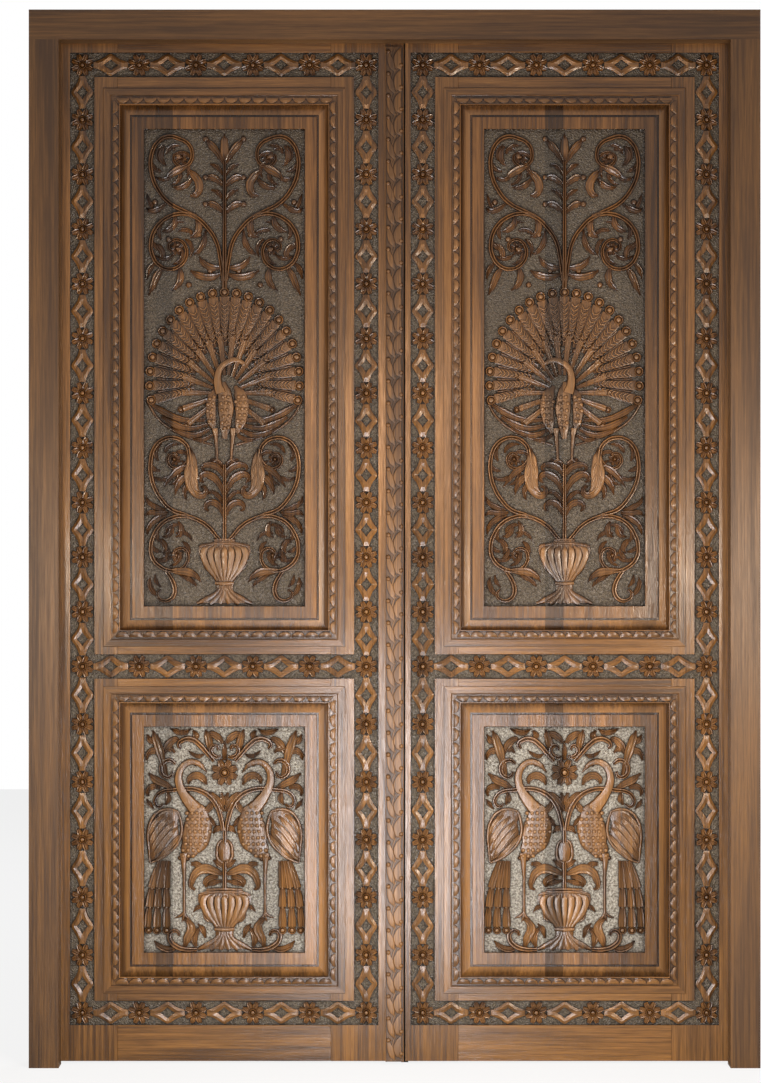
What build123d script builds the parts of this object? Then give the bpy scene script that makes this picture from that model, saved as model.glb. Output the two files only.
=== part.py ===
"""A pair of carved wooden temple door leaves in a plain rebated frame.

The viewer looks along +Y at the carved fronts. X runs to the right, Z upwards, and the floor is at Z = 0.
The leaves turn away from the viewer on three lift-off hinges each. Lengths are in millimetres.
"""

import os
from math import cos, radians, sin

from build123d import *

os.makedirs("parts", exist_ok=True)

# Doorway and frame
CLEAR_WIDTH = 1400.0
CLEAR_HEIGHT = 2143.0
FRAME_FACE = 62.0
FRAME_DEPTH = 100.0
STOP_LAP = 12.0
FRAME_TENON = (40.0, 34.0, 36.0)

# Leaves and the gaps round them
LEAF_THICKNESS = 48.0
EDGE_GAP = 3.0
FLOOR_GAP = 6.0
STOP_GAP = 0.5
MEETING_GAP = 3.5
STRIP_WIDTH = 38.0
STRIP_PROUD = 12.0
STRIP_END_GAP = 8.0

# Bands, mouldings and panels, from a panel's carved field outwards. The fields take up what the rest leaves
LOWER_FIELD_HEIGHT = 475.0
PANEL_MARGIN = 25.0
QUIRK_WIDTH = 4.5
QUIRK_SINK = 9.0
BEVEL_WIDTH = 19.9
BEVEL_SINK = 5.0
MOULDING_WIDTH = 35.6
MOULDING_OVERHANG = 5.6
MOULDING_PROUD = 3.0
BEAD_WIDTH = 20.0
BEAD_PROUD = 10.0
BEAD_EDGE_PROUD = 5.0
MOULDING_BORDER = 18.6
BAND_WIDTH = 51.2
INNER_BORDER = 14.7
OUTER_BORDER = 27.7
BOTTOM_RAIL = 172.0
MIDDLE_RAIL = 143.0
TOP_RAIL = 133.0
BOTTOM_BAND_DROP = 71.0
TOP_BAND_RISE = 79.0
BAND_SINK = 6.0
ROSETTE_PITCH = 118.0
ROSETTE_RADIUS = 24.0
ROSETTE_PROUD = 1.0
ROSETTE_WAIST = 17.3
ROSETTE_PETALS = 8
LOZENGE_GAP = 2.0
LOZENGE_END_GAP = 1.5
MARGIN_SINK = 3.0
FIELD_SINK = 11.0
PANEL_THICKNESS = 33.0
TONGUE_SINK = 11.0
TONGUE_THICKNESS = 15.0
TONGUE_LENGTH = 8.0
TONGUE_PLAY = 0.3
PANEL_PLAY = 1.0

# Hinges
HINGE_HEIGHT = 100.0
HINGE_WIDTH = 30.0
HINGE_THICKNESS = 2.5
HINGE_END = 200.0
BARREL_RADIUS = 6.5
BARREL_GAP = 0.5
PIN_RADIUS = 3.0
PIN_CLEARANCE = 0.05
PIN_RISE = 40.0
KNUCKLE_GAP = 0.3
BARREL_SIDE_COUNT = 8

# Places worked out from those sizes
BARREL_PROUD = BARREL_GAP + 2 * BARREL_RADIUS
BACK_Y = (FRAME_DEPTH - BARREL_PROUD) / 2
FRONT_Y = BACK_Y - FRAME_DEPTH
FACE_Y = BACK_Y - LEAF_THICKNESS
STOP_Y = FACE_Y - STOP_GAP
STOP_X = CLEAR_WIDTH / 2
REBATE_X = STOP_X + STOP_LAP
FRAME_X = STOP_X + FRAME_FACE
LEAF_X = REBATE_X - EDGE_GAP
LEAF_TOP = CLEAR_HEIGHT + STOP_LAP - EDGE_GAP
AXIS_X = (LEAF_X + REBATE_X) / 2
AXIS_Y = BACK_Y + BARREL_GAP + BARREL_RADIUS

FIELD_INSET = PANEL_MARGIN + QUIRK_WIDTH + BEVEL_WIDTH + MOULDING_OVERHANG
BAND_INSET = FIELD_INSET - MOULDING_OVERHANG + MOULDING_WIDTH + MOULDING_BORDER + BAND_WIDTH / 2
INNER_BAND_X = STRIP_WIDTH / 2 + INNER_BORDER + BAND_WIDTH / 2
OUTER_BAND_X = LEAF_X - OUTER_BORDER - BAND_WIDTH / 2
PANEL_X = (INNER_BAND_X + OUTER_BAND_X) / 2
BAND_OFFSET = OUTER_BAND_X - PANEL_X
FIELD_WIDTH = 2 * (BAND_OFFSET - BAND_INSET)
OPENING_EDGE = FIELD_WIDTH / 2 + FIELD_INSET

LOWER_BOTTOM = FLOOR_GAP + BOTTOM_RAIL
LOWER_OPENING = (LOWER_BOTTOM, LOWER_BOTTOM + LOWER_FIELD_HEIGHT + 2 * FIELD_INSET)
UPPER_OPENING = (LOWER_OPENING[1] + MIDDLE_RAIL, LEAF_TOP - TOP_RAIL)
BAND_ROWS = (
    LOWER_OPENING[0] - BOTTOM_BAND_DROP,
    (LOWER_OPENING[1] + UPPER_OPENING[0]) / 2,
    UPPER_OPENING[1] + TOP_BAND_RISE,
)
GROUND_Y = FACE_Y + MARGIN_SINK + FIELD_SINK
HINGE_ROWS = (FLOOR_GAP + HINGE_END, (FLOOR_GAP + LEAF_TOP) / 2, LEAF_TOP - HINGE_END)

# Carving is rooted this far into the ground that it stands on
ROOT = 0.8

FACE = Plane(origin=(0, FACE_Y, 0), x_dir=(1, 0, 0), z_dir=(0, -1, 0))
CARVING = Plane(origin=(0, 0, 0), x_dir=(1, 0, 0), z_dir=(0, -1, 0))


def write(part, name):
    part.label = name
    export_step(part, f"parts/{name}.step")


def mirrored(part):
    return mirror(part, about=Plane.YZ)


def spaced(first, last):
    """Evenly spaced places from first to last, as near the rosette pitch as they come."""
    count = round((last - first) / ROSETTE_PITCH)
    return [first + (last - first) * k / count for k in range(count + 1)]


def between(places):
    return [(a + b) / 2 for a, b in zip(places, places[1:])]


# Carved forms. Each stands on the carving plane, rises towards the viewer and is made from points and sizes


def boss(points, height):
    """A form that rises from an outline to one peak, which is the last point."""
    *outline, peak = points
    with BuildPart() as form:
        with BuildSketch(CARVING.offset(-ROOT)) as base:
            Polygon(*outline, align=None)
        loft(sections=[base.sketch.face(), Vertex(peak[0], -height, peak[1])])
    return form.part


def slab(outline, height):
    """A flat-topped form."""
    with BuildPart() as form:
        with BuildSketch(CARVING.offset(-ROOT)):
            Polygon(*outline, align=None)
        extrude(amount=height + ROOT)
    return form.part


def ridge(route, width, height):
    """A stem with a ridge along it, swept along a route."""
    with BuildPart() as form:
        with BuildLine(CARVING) as path:
            Polyline(*route)
        along = path.line % 0
        with BuildSketch(Plane(origin=path.line @ 0, x_dir=Vector(0, -1, 0).cross(along), z_dir=along)):
            Polygon((-width / 2, -ROOT), (width / 2, -ROOT), (0, height), align=None)
        sweep(is_frenet=True, transition=Transition.RIGHT)
    return form.part


def leaf(points, width, height):
    """A pointed leaf from base to tip, widest and highest a third of the way along."""
    base, tip = Vector(*points[0]), Vector(*points[1])
    across = Vector(base.Y - tip.Y, tip.X - base.X).normalized() * width / 2
    middle = base + (tip - base) / 3
    corners = (base, middle - across, tip, middle + across, middle)
    return boss([(corner.X, corner.Y) for corner in corners], height)


def disc(points, radius, sides, height):
    """A small faceted button."""
    x, z = points[0]
    turns = [radians(360 * k / sides) for k in range(sides)]
    return boss([(x + radius * cos(turn), z + radius * sin(turn)) for turn in turns] + [(x, z)], height)


def spiral(centre, radii, start, turn, shrink, steps):
    """Points of a flattened spiral that winds inwards from its first radii to their shrunken size."""
    points = []
    for k in range(steps + 1):
        size = 1 - (1 - shrink) * k / steps
        angle = radians(start + turn * k / steps)
        points.append((centre[0] + radii[0] * size * cos(angle), centre[1] + radii[1] * size * sin(angle)))
    return points


def star(centre, radius, waist, petals):
    """An outline of pointed petals, and its centre as the last point."""
    outline = []
    for k in range(2 * petals):
        reach = waist if k % 2 else radius
        turn = radians(180 * k / petals)
        outline.append((centre[0] + reach * cos(turn), centre[1] + reach * sin(turn)))
    return outline + [centre]


# Ornaments of the bands

rosette = boss(star((0, 0), ROSETTE_RADIUS, ROSETTE_WAIST, ROSETTE_PETALS), BAND_SINK + ROSETTE_PROUD)


def lozenge(length, upright):
    """A four-pointed diamond that fills the band between two rosettes."""
    tip, side = length / 2, BAND_WIDTH / 2 - LOZENGE_GAP
    points = [(tip, 0), (0, side), (-tip, 0), (0, -side), (0, 0)]
    return boss([(z, x) for x, z in points] if upright else points, BAND_SINK)


def lozenge_length(places):
    return places[1] - places[0] - 2 * ROSETTE_RADIUS - 2 * LOZENGE_END_GAP


def set_out(form, places):
    return [form.moved(Location((x, FACE_Y + BAND_SINK, z))) for x, z in places]


# Frame: jambs with a stop in front of the leaves, and the head across them


TENON_X = (REBATE_X + FRAME_X) / 2
TENON_Y = (FRONT_Y + BACK_Y) / 2

with BuildPart() as jamb:
    with BuildSketch(Plane.XY):
        with BuildLine():
            Polyline(
                (STOP_X, FRONT_Y),
                (FRAME_X, FRONT_Y),
                (FRAME_X, BACK_Y),
                (REBATE_X, BACK_Y),
                (REBATE_X, STOP_Y),
                (STOP_X, STOP_Y),
                close=True,
            )
        make_face()
    extrude(amount=CLEAR_HEIGHT)
    with BuildSketch(Plane.XY.offset(CLEAR_HEIGHT)):
        with Locations((TENON_X, TENON_Y)):
            Rectangle(FRAME_TENON[1], FRAME_TENON[0])
    extrude(amount=FRAME_TENON[2])
    with BuildSketch(Plane.YZ.offset(REBATE_X)):
        with Locations([(BACK_Y - HINGE_WIDTH / 2, z) for z in HINGE_ROWS]):
            Rectangle(HINGE_WIDTH, HINGE_HEIGHT)
    extrude(amount=HINGE_THICKNESS, mode=Mode.SUBTRACT)

with BuildPart() as head:
    with BuildSketch(Plane.XY.offset(CLEAR_HEIGHT)):
        with Locations((0, TENON_Y)):
            Rectangle(2 * FRAME_X, FRAME_DEPTH)
    extrude(amount=FRAME_FACE)
    with BuildSketch(Plane.XY.offset(CLEAR_HEIGHT)):
        with Locations((0, (STOP_Y + BACK_Y) / 2)):
            Rectangle(2 * REBATE_X, BACK_Y - STOP_Y)
    extrude(amount=STOP_LAP, mode=Mode.SUBTRACT)
    with BuildSketch(Plane.XY.offset(CLEAR_HEIGHT)):
        with Locations((-TENON_X, TENON_Y), (TENON_X, TENON_Y)):
            Rectangle(FRAME_TENON[1], FRAME_TENON[0])
    extrude(amount=FRAME_TENON[2], mode=Mode.SUBTRACT)

write(head.part, "frame_head")
write(mirrored(jamb.part), "frame_jamb_left")
write(jamb.part, "frame_jamb_right")

# Hinges: the half on the jamb carries the pin, and the half on the leaf is lifted onto it

with BuildPart() as frame_half:
    with BuildSketch(Plane.XY.offset(-HINGE_HEIGHT / 2)):
        with Locations((REBATE_X + HINGE_THICKNESS / 2, BACK_Y - HINGE_WIDTH / 2)):
            Rectangle(HINGE_THICKNESS, HINGE_WIDTH)
    extrude(amount=HINGE_HEIGHT)
    with BuildSketch(Plane.XY.offset(-HINGE_HEIGHT / 2)):
        with Locations((AXIS_X, AXIS_Y)):
            RegularPolygon(BARREL_RADIUS, BARREL_SIDE_COUNT)
        with Locations((REBATE_X + HINGE_THICKNESS / 2, (BACK_Y + AXIS_Y) / 2)):
            Rectangle(HINGE_THICKNESS, AXIS_Y - BACK_Y)
    extrude(amount=HINGE_HEIGHT / 2 - KNUCKLE_GAP)
    with BuildSketch(Plane.XY.offset(-HINGE_HEIGHT / 2)):
        with Locations((AXIS_X, AXIS_Y)):
            RegularPolygon(PIN_RADIUS, BARREL_SIDE_COUNT)
    extrude(amount=HINGE_HEIGHT / 2 + PIN_RISE)

with BuildPart() as leaf_half:
    with BuildSketch(Plane.XY.offset(-HINGE_HEIGHT / 2)):
        with Locations((LEAF_X - HINGE_THICKNESS / 2, BACK_Y - HINGE_WIDTH / 2)):
            Rectangle(HINGE_THICKNESS, HINGE_WIDTH)
    extrude(amount=HINGE_HEIGHT)
    with BuildSketch(Plane.XY):
        with Locations((AXIS_X, AXIS_Y)):
            RegularPolygon(BARREL_RADIUS, BARREL_SIDE_COUNT)
        with Locations((LEAF_X - HINGE_THICKNESS / 2, (BACK_Y + AXIS_Y) / 2)):
            Rectangle(HINGE_THICKNESS, AXIS_Y - BACK_Y)
    extrude(amount=HINGE_HEIGHT / 2)
    with BuildSketch(Plane.XY):
        with Locations((AXIS_X, AXIS_Y)):
            RegularPolygon(PIN_RADIUS + PIN_CLEARANCE, BARREL_SIDE_COUNT, major_radius=False)
    extrude(amount=PIN_RISE + KNUCKLE_GAP, mode=Mode.SUBTRACT)

for half, name in ((frame_half, "hinge_frame_halves"), (leaf_half, "hinge_leaf_halves")):
    with BuildPart() as halves:
        with Locations([(0, 0, z) for z in HINGE_ROWS]):
            add(half.part)
    write(mirrored(halves.part), f"{name}_left")
    write(halves.part, f"{name}_right")

# Stiles: upright boards with the long bands, grooved for the panels

LEVEL_PLACES = spaced(-BAND_OFFSET, BAND_OFFSET)
LEVEL_LOZENGE = lozenge(lozenge_length(LEVEL_PLACES), False)
LEVEL_REACH = lozenge_length(LEVEL_PLACES) / 2
GROOVE_DEPTH = TONGUE_LENGTH + PANEL_PLAY


def stile(inner, outer, band_x, side):
    """A stile from its edge at the panels to its outer edge. side is 1 where the panels lie to its left."""
    width, height = abs(outer - inner), LEAF_TOP - FLOOR_GAP
    middle = ((inner + outer) / 2, (FLOOR_GAP + LEAF_TOP) / 2)
    stub = (abs(band_x - inner), inner + (band_x - inner) / 2)
    with BuildPart() as board:
        with BuildSketch(FACE):
            with Locations(middle):
                Rectangle(width, height)
        extrude(amount=-LEAF_THICKNESS)
        with BuildSketch(FACE):
            with Locations((band_x, (BAND_ROWS[0] + BAND_ROWS[2]) / 2)):
                Rectangle(BAND_WIDTH, BAND_ROWS[2] - BAND_ROWS[0] + BAND_WIDTH)
            with Locations([(stub[1], row) for row in BAND_ROWS]):
                Rectangle(stub[0], BAND_WIDTH)
        extrude(amount=-BAND_SINK, mode=Mode.SUBTRACT)
        with BuildSketch(FACE.offset(TONGUE_PLAY - TONGUE_SINK)):
            for low, high in (LOWER_OPENING, UPPER_OPENING):
                with Locations((inner + side * GROOVE_DEPTH / 2, (low + high) / 2)):
                    Rectangle(GROOVE_DEPTH, high - low + 2 * GROOVE_DEPTH)
        extrude(amount=-TONGUE_THICKNESS - 2 * TONGUE_PLAY, mode=Mode.SUBTRACT)
        lower, upper = spaced(BAND_ROWS[0], BAND_ROWS[1]), spaced(BAND_ROWS[1], BAND_ROWS[2])
        add(set_out(rosette, [(band_x, z) for z in lower + upper[1:]]))
        for places in (lower, upper):
            diamond = lozenge(lozenge_length(places), True)
            add(set_out(diamond, [(band_x, z) for z in between(places)]))
        for form, reach, places in (
            (LEVEL_LOZENGE, LEVEL_REACH, between(LEVEL_PLACES)),
            (rosette, ROSETTE_RADIUS, LEVEL_PLACES[:-1]),
        ):
            across = [PANEL_X + side * x for x in places if x + reach > OPENING_EDGE]
            for row in BAND_ROWS:
                if across:
                    add(set_out(form, [(x, row) for x in across]))
        with BuildSketch(FACE.offset(LEAF_THICKNESS)):
            with Locations(middle):
                Rectangle(width, height)
        extrude(amount=-3 * LEAF_THICKNESS, mode=Mode.INTERSECT)
    return board


hanging = stile(PANEL_X + OPENING_EDGE, LEAF_X, OUTER_BAND_X, 1)
with BuildPart() as hanging_stile:
    add(hanging.part)
    with BuildSketch(Plane.YZ.offset(LEAF_X)):
        with Locations([(BACK_Y - HINGE_WIDTH / 2, z) for z in HINGE_ROWS]):
            Rectangle(HINGE_WIDTH, HINGE_HEIGHT)
    extrude(amount=-HINGE_THICKNESS, mode=Mode.SUBTRACT)
write(mirrored(hanging_stile.part), "hanging_stile_left")
write(hanging_stile.part, "hanging_stile_right")

plain_meeting = stile(PANEL_X - OPENING_EDGE, STRIP_WIDTH / 2 + MEETING_GAP, INNER_BAND_X, -1)
wide_meeting = stile(PANEL_X - OPENING_EDGE, -STRIP_WIDTH / 2, INNER_BAND_X, -1)
write(plain_meeting.part, "meeting_stile_right")
write(mirrored(wide_meeting.part), "meeting_stile_left")

# Rails: level boards between the stiles, each with the edges that hold a panel grooved

RAILS = {
    "bottom_rail": (FLOOR_GAP, LOWER_OPENING[0], BAND_ROWS[0], [LOWER_OPENING[0] - GROOVE_DEPTH / 2]),
    "middle_rail": (
        LOWER_OPENING[1],
        UPPER_OPENING[0],
        BAND_ROWS[1],
        [LOWER_OPENING[1] + GROOVE_DEPTH / 2, UPPER_OPENING[0] - GROOVE_DEPTH / 2],
    ),
    "top_rail": (UPPER_OPENING[1], LEAF_TOP, BAND_ROWS[2], [UPPER_OPENING[1] + GROOVE_DEPTH / 2]),
}

for name, (low, high, row, grooves) in RAILS.items():
    with BuildPart() as rail:
        with BuildSketch(FACE):
            with Locations((PANEL_X, (low + high) / 2)):
                Rectangle(2 * OPENING_EDGE, high - low)
        extrude(amount=-LEAF_THICKNESS)
        with BuildSketch(FACE):
            with Locations((PANEL_X, row)):
                Rectangle(2 * OPENING_EDGE, BAND_WIDTH)
        extrude(amount=-BAND_SINK, mode=Mode.SUBTRACT)
        with BuildSketch(FACE.offset(TONGUE_PLAY - TONGUE_SINK)):
            with Locations([(PANEL_X, z) for z in grooves]):
                Rectangle(2 * OPENING_EDGE, GROOVE_DEPTH)
        extrude(amount=-TONGUE_THICKNESS - 2 * TONGUE_PLAY, mode=Mode.SUBTRACT)
        flowers = [x for x in LEVEL_PLACES if abs(x) - ROSETTE_RADIUS < OPENING_EDGE]
        diamonds = [x for x in between(LEVEL_PLACES) if abs(x) - LEVEL_REACH < OPENING_EDGE]
        add(set_out(rosette, [(PANEL_X + x, row) for x in flowers]))
        add(set_out(LEVEL_LOZENGE, [(PANEL_X + x, row) for x in diamonds]))
        with BuildSketch(FACE.offset(LEAF_THICKNESS)):
            with Locations((PANEL_X, (low + high) / 2)):
                Rectangle(2 * OPENING_EDGE, high - low)
        extrude(amount=-3 * LEAF_THICKNESS, mode=Mode.INTERSECT)
    write(mirrored(rail.part), f"{name}_left")
    write(rail.part, f"{name}_right")

# Mouldings: four mitred lengths round each panel, planted on the stiles and rails


def moulding(centre, outward, reach, half_length):
    """One mitred length. outward points away from the panel, and reach is the way out to the opening's edge."""
    inner = reach - MOULDING_OVERHANG
    out = Vector(outward[0], 0, outward[1])
    along = out.cross(FACE.z_dir)
    origin = (centre[0], FACE_Y, centre[1])
    section = Plane(origin=origin, x_dir=out, z_dir=along)
    longest = half_length + MOULDING_WIDTH - MOULDING_OVERHANG
    shortest = half_length - MOULDING_OVERHANG
    with BuildPart() as length:
        with BuildSketch(section.offset(-longest)):
            Polygon(
                (inner, BEAD_EDGE_PROUD),
                (inner + BEAD_WIDTH / 2, BEAD_PROUD),
                (inner + BEAD_WIDTH, BEAD_EDGE_PROUD),
                (inner + BEAD_WIDTH, MOULDING_PROUD),
                (inner + MOULDING_WIDTH, MOULDING_PROUD),
                (inner + MOULDING_WIDTH, 0),
                (reach, 0),
                (reach, TONGUE_PLAY - TONGUE_SINK),
                (inner, TONGUE_PLAY - TONGUE_SINK),
                align=None,
            )
        extrude(amount=2 * longest)
        with BuildSketch(Plane(origin=origin, x_dir=along, z_dir=FACE.z_dir).offset(-LEAF_THICKNESS)):
            Polygon(
                (-shortest, inner),
                (shortest, inner),
                (longest, inner + MOULDING_WIDTH),
                (-longest, inner + MOULDING_WIDTH),
                align=None,
            )
        extrude(amount=2 * LEAF_THICKNESS, mode=Mode.INTERSECT)
    return length.part


for panel, (low, high) in (("upper", UPPER_OPENING), ("lower", LOWER_OPENING)):
    middle = (PANEL_X, (low + high) / 2)
    tall = (high - low) / 2
    sides = {
        "top": ((0, 1), tall, OPENING_EDGE),
        "bottom": ((0, -1), tall, OPENING_EDGE),
        "outer": ((1, 0), OPENING_EDGE, tall),
        "inner": ((-1, 0), OPENING_EDGE, tall),
    }
    for place, (outward, reach, half_length) in sides.items():
        piece = moulding(middle, outward, reach, half_length)
        write(mirrored(piece), f"{panel}_moulding_{place}_left")
        write(piece, f"{panel}_moulding_{place}_right")

# Carving of the upper panels: a peacock with its fan over a vase, among scrolling vines. Each form is its
# maker, its points and its sizes. The points are drawn from the middle of the field's lower edge

UPPER_DRAWING = (338, 1003)
LOWER_DRAWING = (338, 475)
STEM = (9, 7)
LEAF_HEIGHT = 7
BODY_HEIGHT = 10
FAN_CENTRE = (0, 470)
FAN_RADII = (151, 183)
FAN_SPREAD = 208
FAN_FEATHERS = 18
FEATHER_HEIGHT = 8


def both_sides(forms):
    """Forms and their mirror images."""
    return forms + [(make, [(-x, z) for x, z in points], *sizes) for make, points, *sizes in forms]


def outline_of(half, peak):
    """A closed outline from its right half, listed from the top down, and the height of its peak."""
    return half + [(-x, z) for x, z in reversed(half)] + [(0, peak)]


def fan_point(reach, angle):
    """The point at a share of the fan's radii, at an angle in degrees."""
    turn = radians(angle)
    x, z = FAN_CENTRE
    return (x + FAN_RADII[0] * reach * cos(turn), z + FAN_RADII[1] * reach * sin(turn))


def feather(angle, spread):
    """One long feather of the fan, from its quill out to the round eye at its end."""
    corners = ((0.66, 0), (0.86, -spread), (0.99, -spread), (1.05, 0), (0.99, spread), (0.86, spread), (0.94, 0))
    return (boss, [fan_point(reach, angle + turn) for reach, turn in corners], FEATHER_HEIGHT)


vines = both_sides([
    (ridge, [(15, 146), (44, 178)] + spiral((115, 125), (47, 66), 115, -305, 0.52, 8), *STEM),
    (ridge, [(62, 190), (112, 201)] + spiral((110, 312), (50, 60), -40, 390, 0.18, 8), *STEM),
    (ridge, [(2, 700), (12, 750)] + spiral((97, 765), (60, 62), 150, -375, 0.32, 8), *STEM),
    (ridge, [(66, 823), (112, 849)] + spiral((108, 946), (45, 54), -50, 360, 0.32, 7), *STEM),
    (leaf, [(90, 62), (32, 80)], 20, LEAF_HEIGHT),
    (leaf, [(100, 52), (148, 12)], 22, LEAF_HEIGHT),
    (leaf, [(144, 192), (162, 158)], 18, LEAF_HEIGHT),
    (leaf, [(150, 206), (163, 240)], 16, LEAF_HEIGHT),
    (leaf, [(96, 276), (50, 236)], 34, LEAF_HEIGHT),
    (leaf, [(8, 205), (36, 216)], 14, LEAF_HEIGHT),
    (leaf, [(8, 262), (36, 272)], 14, LEAF_HEIGHT),
    (leaf, [(116, 132), (128, 100)], 16, LEAF_HEIGHT),
    (leaf, [(62, 742), (92, 784)], 24, LEAF_HEIGHT),
    (leaf, [(140, 690), (163, 655)], 18, LEAF_HEIGHT),
    (leaf, [(6, 905), (40, 915)], 14, LEAF_HEIGHT),
    (leaf, [(110, 908), (94, 950)], 20, LEAF_HEIGHT),
])
step = FAN_SPREAD / FAN_FEATHERS
first = 90 - FAN_SPREAD / 2
long_feathers = [feather(first + step * k, 0.42 * step) for k in range(FAN_FEATHERS + 1)]
short_feathers = []
for k in range(FAN_FEATHERS // 2):
    angle = first + 2 * step * (k + 0.5)
    short_feathers.append((leaf, [fan_point(0.44, angle), fan_point(0.64, angle)], 17, LEAF_HEIGHT))
peacock = [
    (boss, [(-32, 464), (-52, 430), (-46, 385), (-30, 368), (-14, 400), (-14, 440), (-32, 416)], BODY_HEIGHT),
    (boss, [(30, 455), (42, 420), (32, 382), (13, 400), (14, 440), (26, 420)], BODY_HEIGHT),
    (boss, [(-12, 452), (12, 452), (12, 400), (0, 350), (-12, 392), (0, 430)], BODY_HEIGHT),
    (ridge, [(4, 456), (20, 480), (17, 505), (0, 522), (-14, 522)], 15, BODY_HEIGHT),
    (boss, [(-16, 532), (-36, 526), (-54, 499), (-34, 506), (-16, 512), (-28, 519)], BODY_HEIGHT),
    (ridge, [(-26, 366), (-18, 330), (-14, 308)], *STEM),
    (ridge, [(24, 380), (20, 330), (15, 308)], *STEM),
]
upper_relief = vines + long_feathers + short_feathers + peacock + [
    (ridge, [(24, 338), (72, 352), (112, 372), (152, 410)], 12, 6),
    (ridge, [(-24, 338), (-72, 352), (-112, 372), (-152, 410)], 12, 6),
    (boss, outline_of([(22, 138), (24, 128), (55, 124), (58, 100), (44, 72), (18, 50)], 104), BODY_HEIGHT),
    (boss, outline_of([(20, 47), (63, 4)], 25), BODY_HEIGHT),
    (slab, [(-5, 139), (-5, 296), (-44, 294), (-28, 306), (28, 306), (44, 294), (5, 296), (5, 139)], LEAF_HEIGHT),
    (slab, [(-7, 670), (-3, 926), (3, 926), (7, 670)], LEAF_HEIGHT),
    (disc, [(0, 945)], 14, 6, LEAF_HEIGHT),
    (leaf, [(0, 950), (0, 992)], 22, LEAF_HEIGHT),
]

# Carving of the lower panels: two birds beside a flower that grows from a vase

TAIL_HEIGHT = 4
TAIL_DISC = (8.2, 4, 8)
birds = both_sides([
    (boss, [(-78, 304), (-48, 302), (-28, 278), (-26, 232), (-48, 208), (-84, 204), (-52, 255)], BODY_HEIGHT),
    (
        boss,
        [(-94, 290), (-138, 297), (-158, 268), (-159, 194), (-128, 199), (-98, 226), (-122, 255)],
        BODY_HEIGHT,
    ),
    (ridge, [(-66, 304), (-90, 322), (-100, 352), (-90, 380), (-72, 392)], 20, BODY_HEIGHT),
    (boss, [(-74, 404), (-58, 402), (-36, 380), (-60, 384), (-74, 380), (-62, 392)], BODY_HEIGHT),
    (slab, [(-144, 188), (-110, 184), (-112, 40), (-167, 40)], TAIL_HEIGHT),
    (ridge, [(-90, 200), (-86, 150), (-84, 82)], *STEM),
])
birds += both_sides([(disc, [(x, z)], *TAIL_DISC) for z in (135, 95, 52) for x in (-154, -138, -122)])
foliage = both_sides([
    (ridge, [(4, 266), (-8, 305), (-30, 328), (-60, 341), (-78, 342)], *STEM),
    (ridge, [(-118, 340), (-138, 338), (-146, 318)], *STEM),
    (ridge, [(-26, 402), (-46, 428), (-72, 448), (-96, 446)], *STEM),
    (ridge, [(-114, 378), (-128, 396), (-126, 420), (-144, 440)], *STEM),
    (ridge, [(-66, 8), (-96, 8), (-104, 28)], *STEM),
    (leaf, [(-10, 168), (-56, 176)], 20, LEAF_HEIGHT),
    (leaf, [(-60, 168), (-72, 132)], 16, LEAF_HEIGHT),
    (leaf, [(-22, 416), (-24, 442)], 18, LEAF_HEIGHT),
    (leaf, [(-8, 446), (-40, 464)], 14, LEAF_HEIGHT),
    (leaf, [(-62, 18), (-76, 66)], 20, LEAF_HEIGHT),
    (leaf, [(-126, 442), (-112, 464)], 14, LEAF_HEIGHT),
])
lower_relief = birds + foliage + [
    (boss, star((0, 378), 29, 20, 8), BODY_HEIGHT),
    (boss, outline_of([(42, 131), (56, 122), (50, 94), (20, 52)], 108), BODY_HEIGHT),
    (boss, outline_of([(20, 49), (62, 4)], 26), BODY_HEIGHT),
    (boss, [(-6, 186), (-15, 210), (0, 262), (15, 210), (6, 186), (0, 212)], BODY_HEIGHT),
    (slab, [(-4, 131), (-4, 184), (4, 184), (4, 131)], LEAF_HEIGHT),
]

# Panels: boards with a tongue all round, a bevelled border, a narrow quirk, a flat margin and a sunk carved field


def bordered(field_height, border):
    """A rectangle wider than the carved field by a border on every side."""
    Rectangle(FIELD_WIDTH + 2 * border, field_height + 2 * border)



def panel(opening, drawing, relief):
    """A panel for an opening. Its relief is stretched from the size that it was drawn at to the real field."""
    low, high = opening
    middle = (PANEL_X, (low + high) / 2)
    field_height = high - low - 2 * FIELD_INSET
    wide, tall = FIELD_WIDTH / drawing[0], field_height / drawing[1]
    corner = Location((PANEL_X, GROUND_Y, low + FIELD_INSET))
    with BuildPart() as board:
        with BuildSketch(FACE.offset(-TONGUE_SINK)):
            with Locations(middle):
                Rectangle(2 * (OPENING_EDGE + TONGUE_LENGTH), high - low + 2 * TONGUE_LENGTH)
        extrude(amount=-TONGUE_THICKNESS)
        with BuildSketch(FACE.offset(-TONGUE_SINK)):
            with Locations(middle):
                bordered(field_height, PANEL_MARGIN + QUIRK_WIDTH + BEVEL_WIDTH)
        with BuildSketch(FACE.offset(-BEVEL_SINK)):
            with Locations(middle):
                bordered(field_height, PANEL_MARGIN + QUIRK_WIDTH)
        loft(ruled=True)
        with BuildSketch(FACE.offset(-MARGIN_SINK)):
            with Locations(middle):
                bordered(field_height, PANEL_MARGIN)
        extrude(amount=-PANEL_THICKNESS)
        with BuildSketch(FACE):
            with Locations(middle):
                bordered(field_height, PANEL_MARGIN + QUIRK_WIDTH)
                Rectangle(FIELD_WIDTH + 2 * PANEL_MARGIN, field_height + 2 * PANEL_MARGIN, mode=Mode.SUBTRACT)
        extrude(amount=-QUIRK_SINK, mode=Mode.SUBTRACT)
        with BuildSketch(FACE):
            with Locations(middle):
                bordered(field_height, 0)
        extrude(amount=-MARGIN_SINK - FIELD_SINK, mode=Mode.SUBTRACT)
        forms = [make([(x * wide, z * tall) for x, z in points], *sizes) for make, points, *sizes in relief]
        add([form.moved(corner) for form in forms])
    return board


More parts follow.
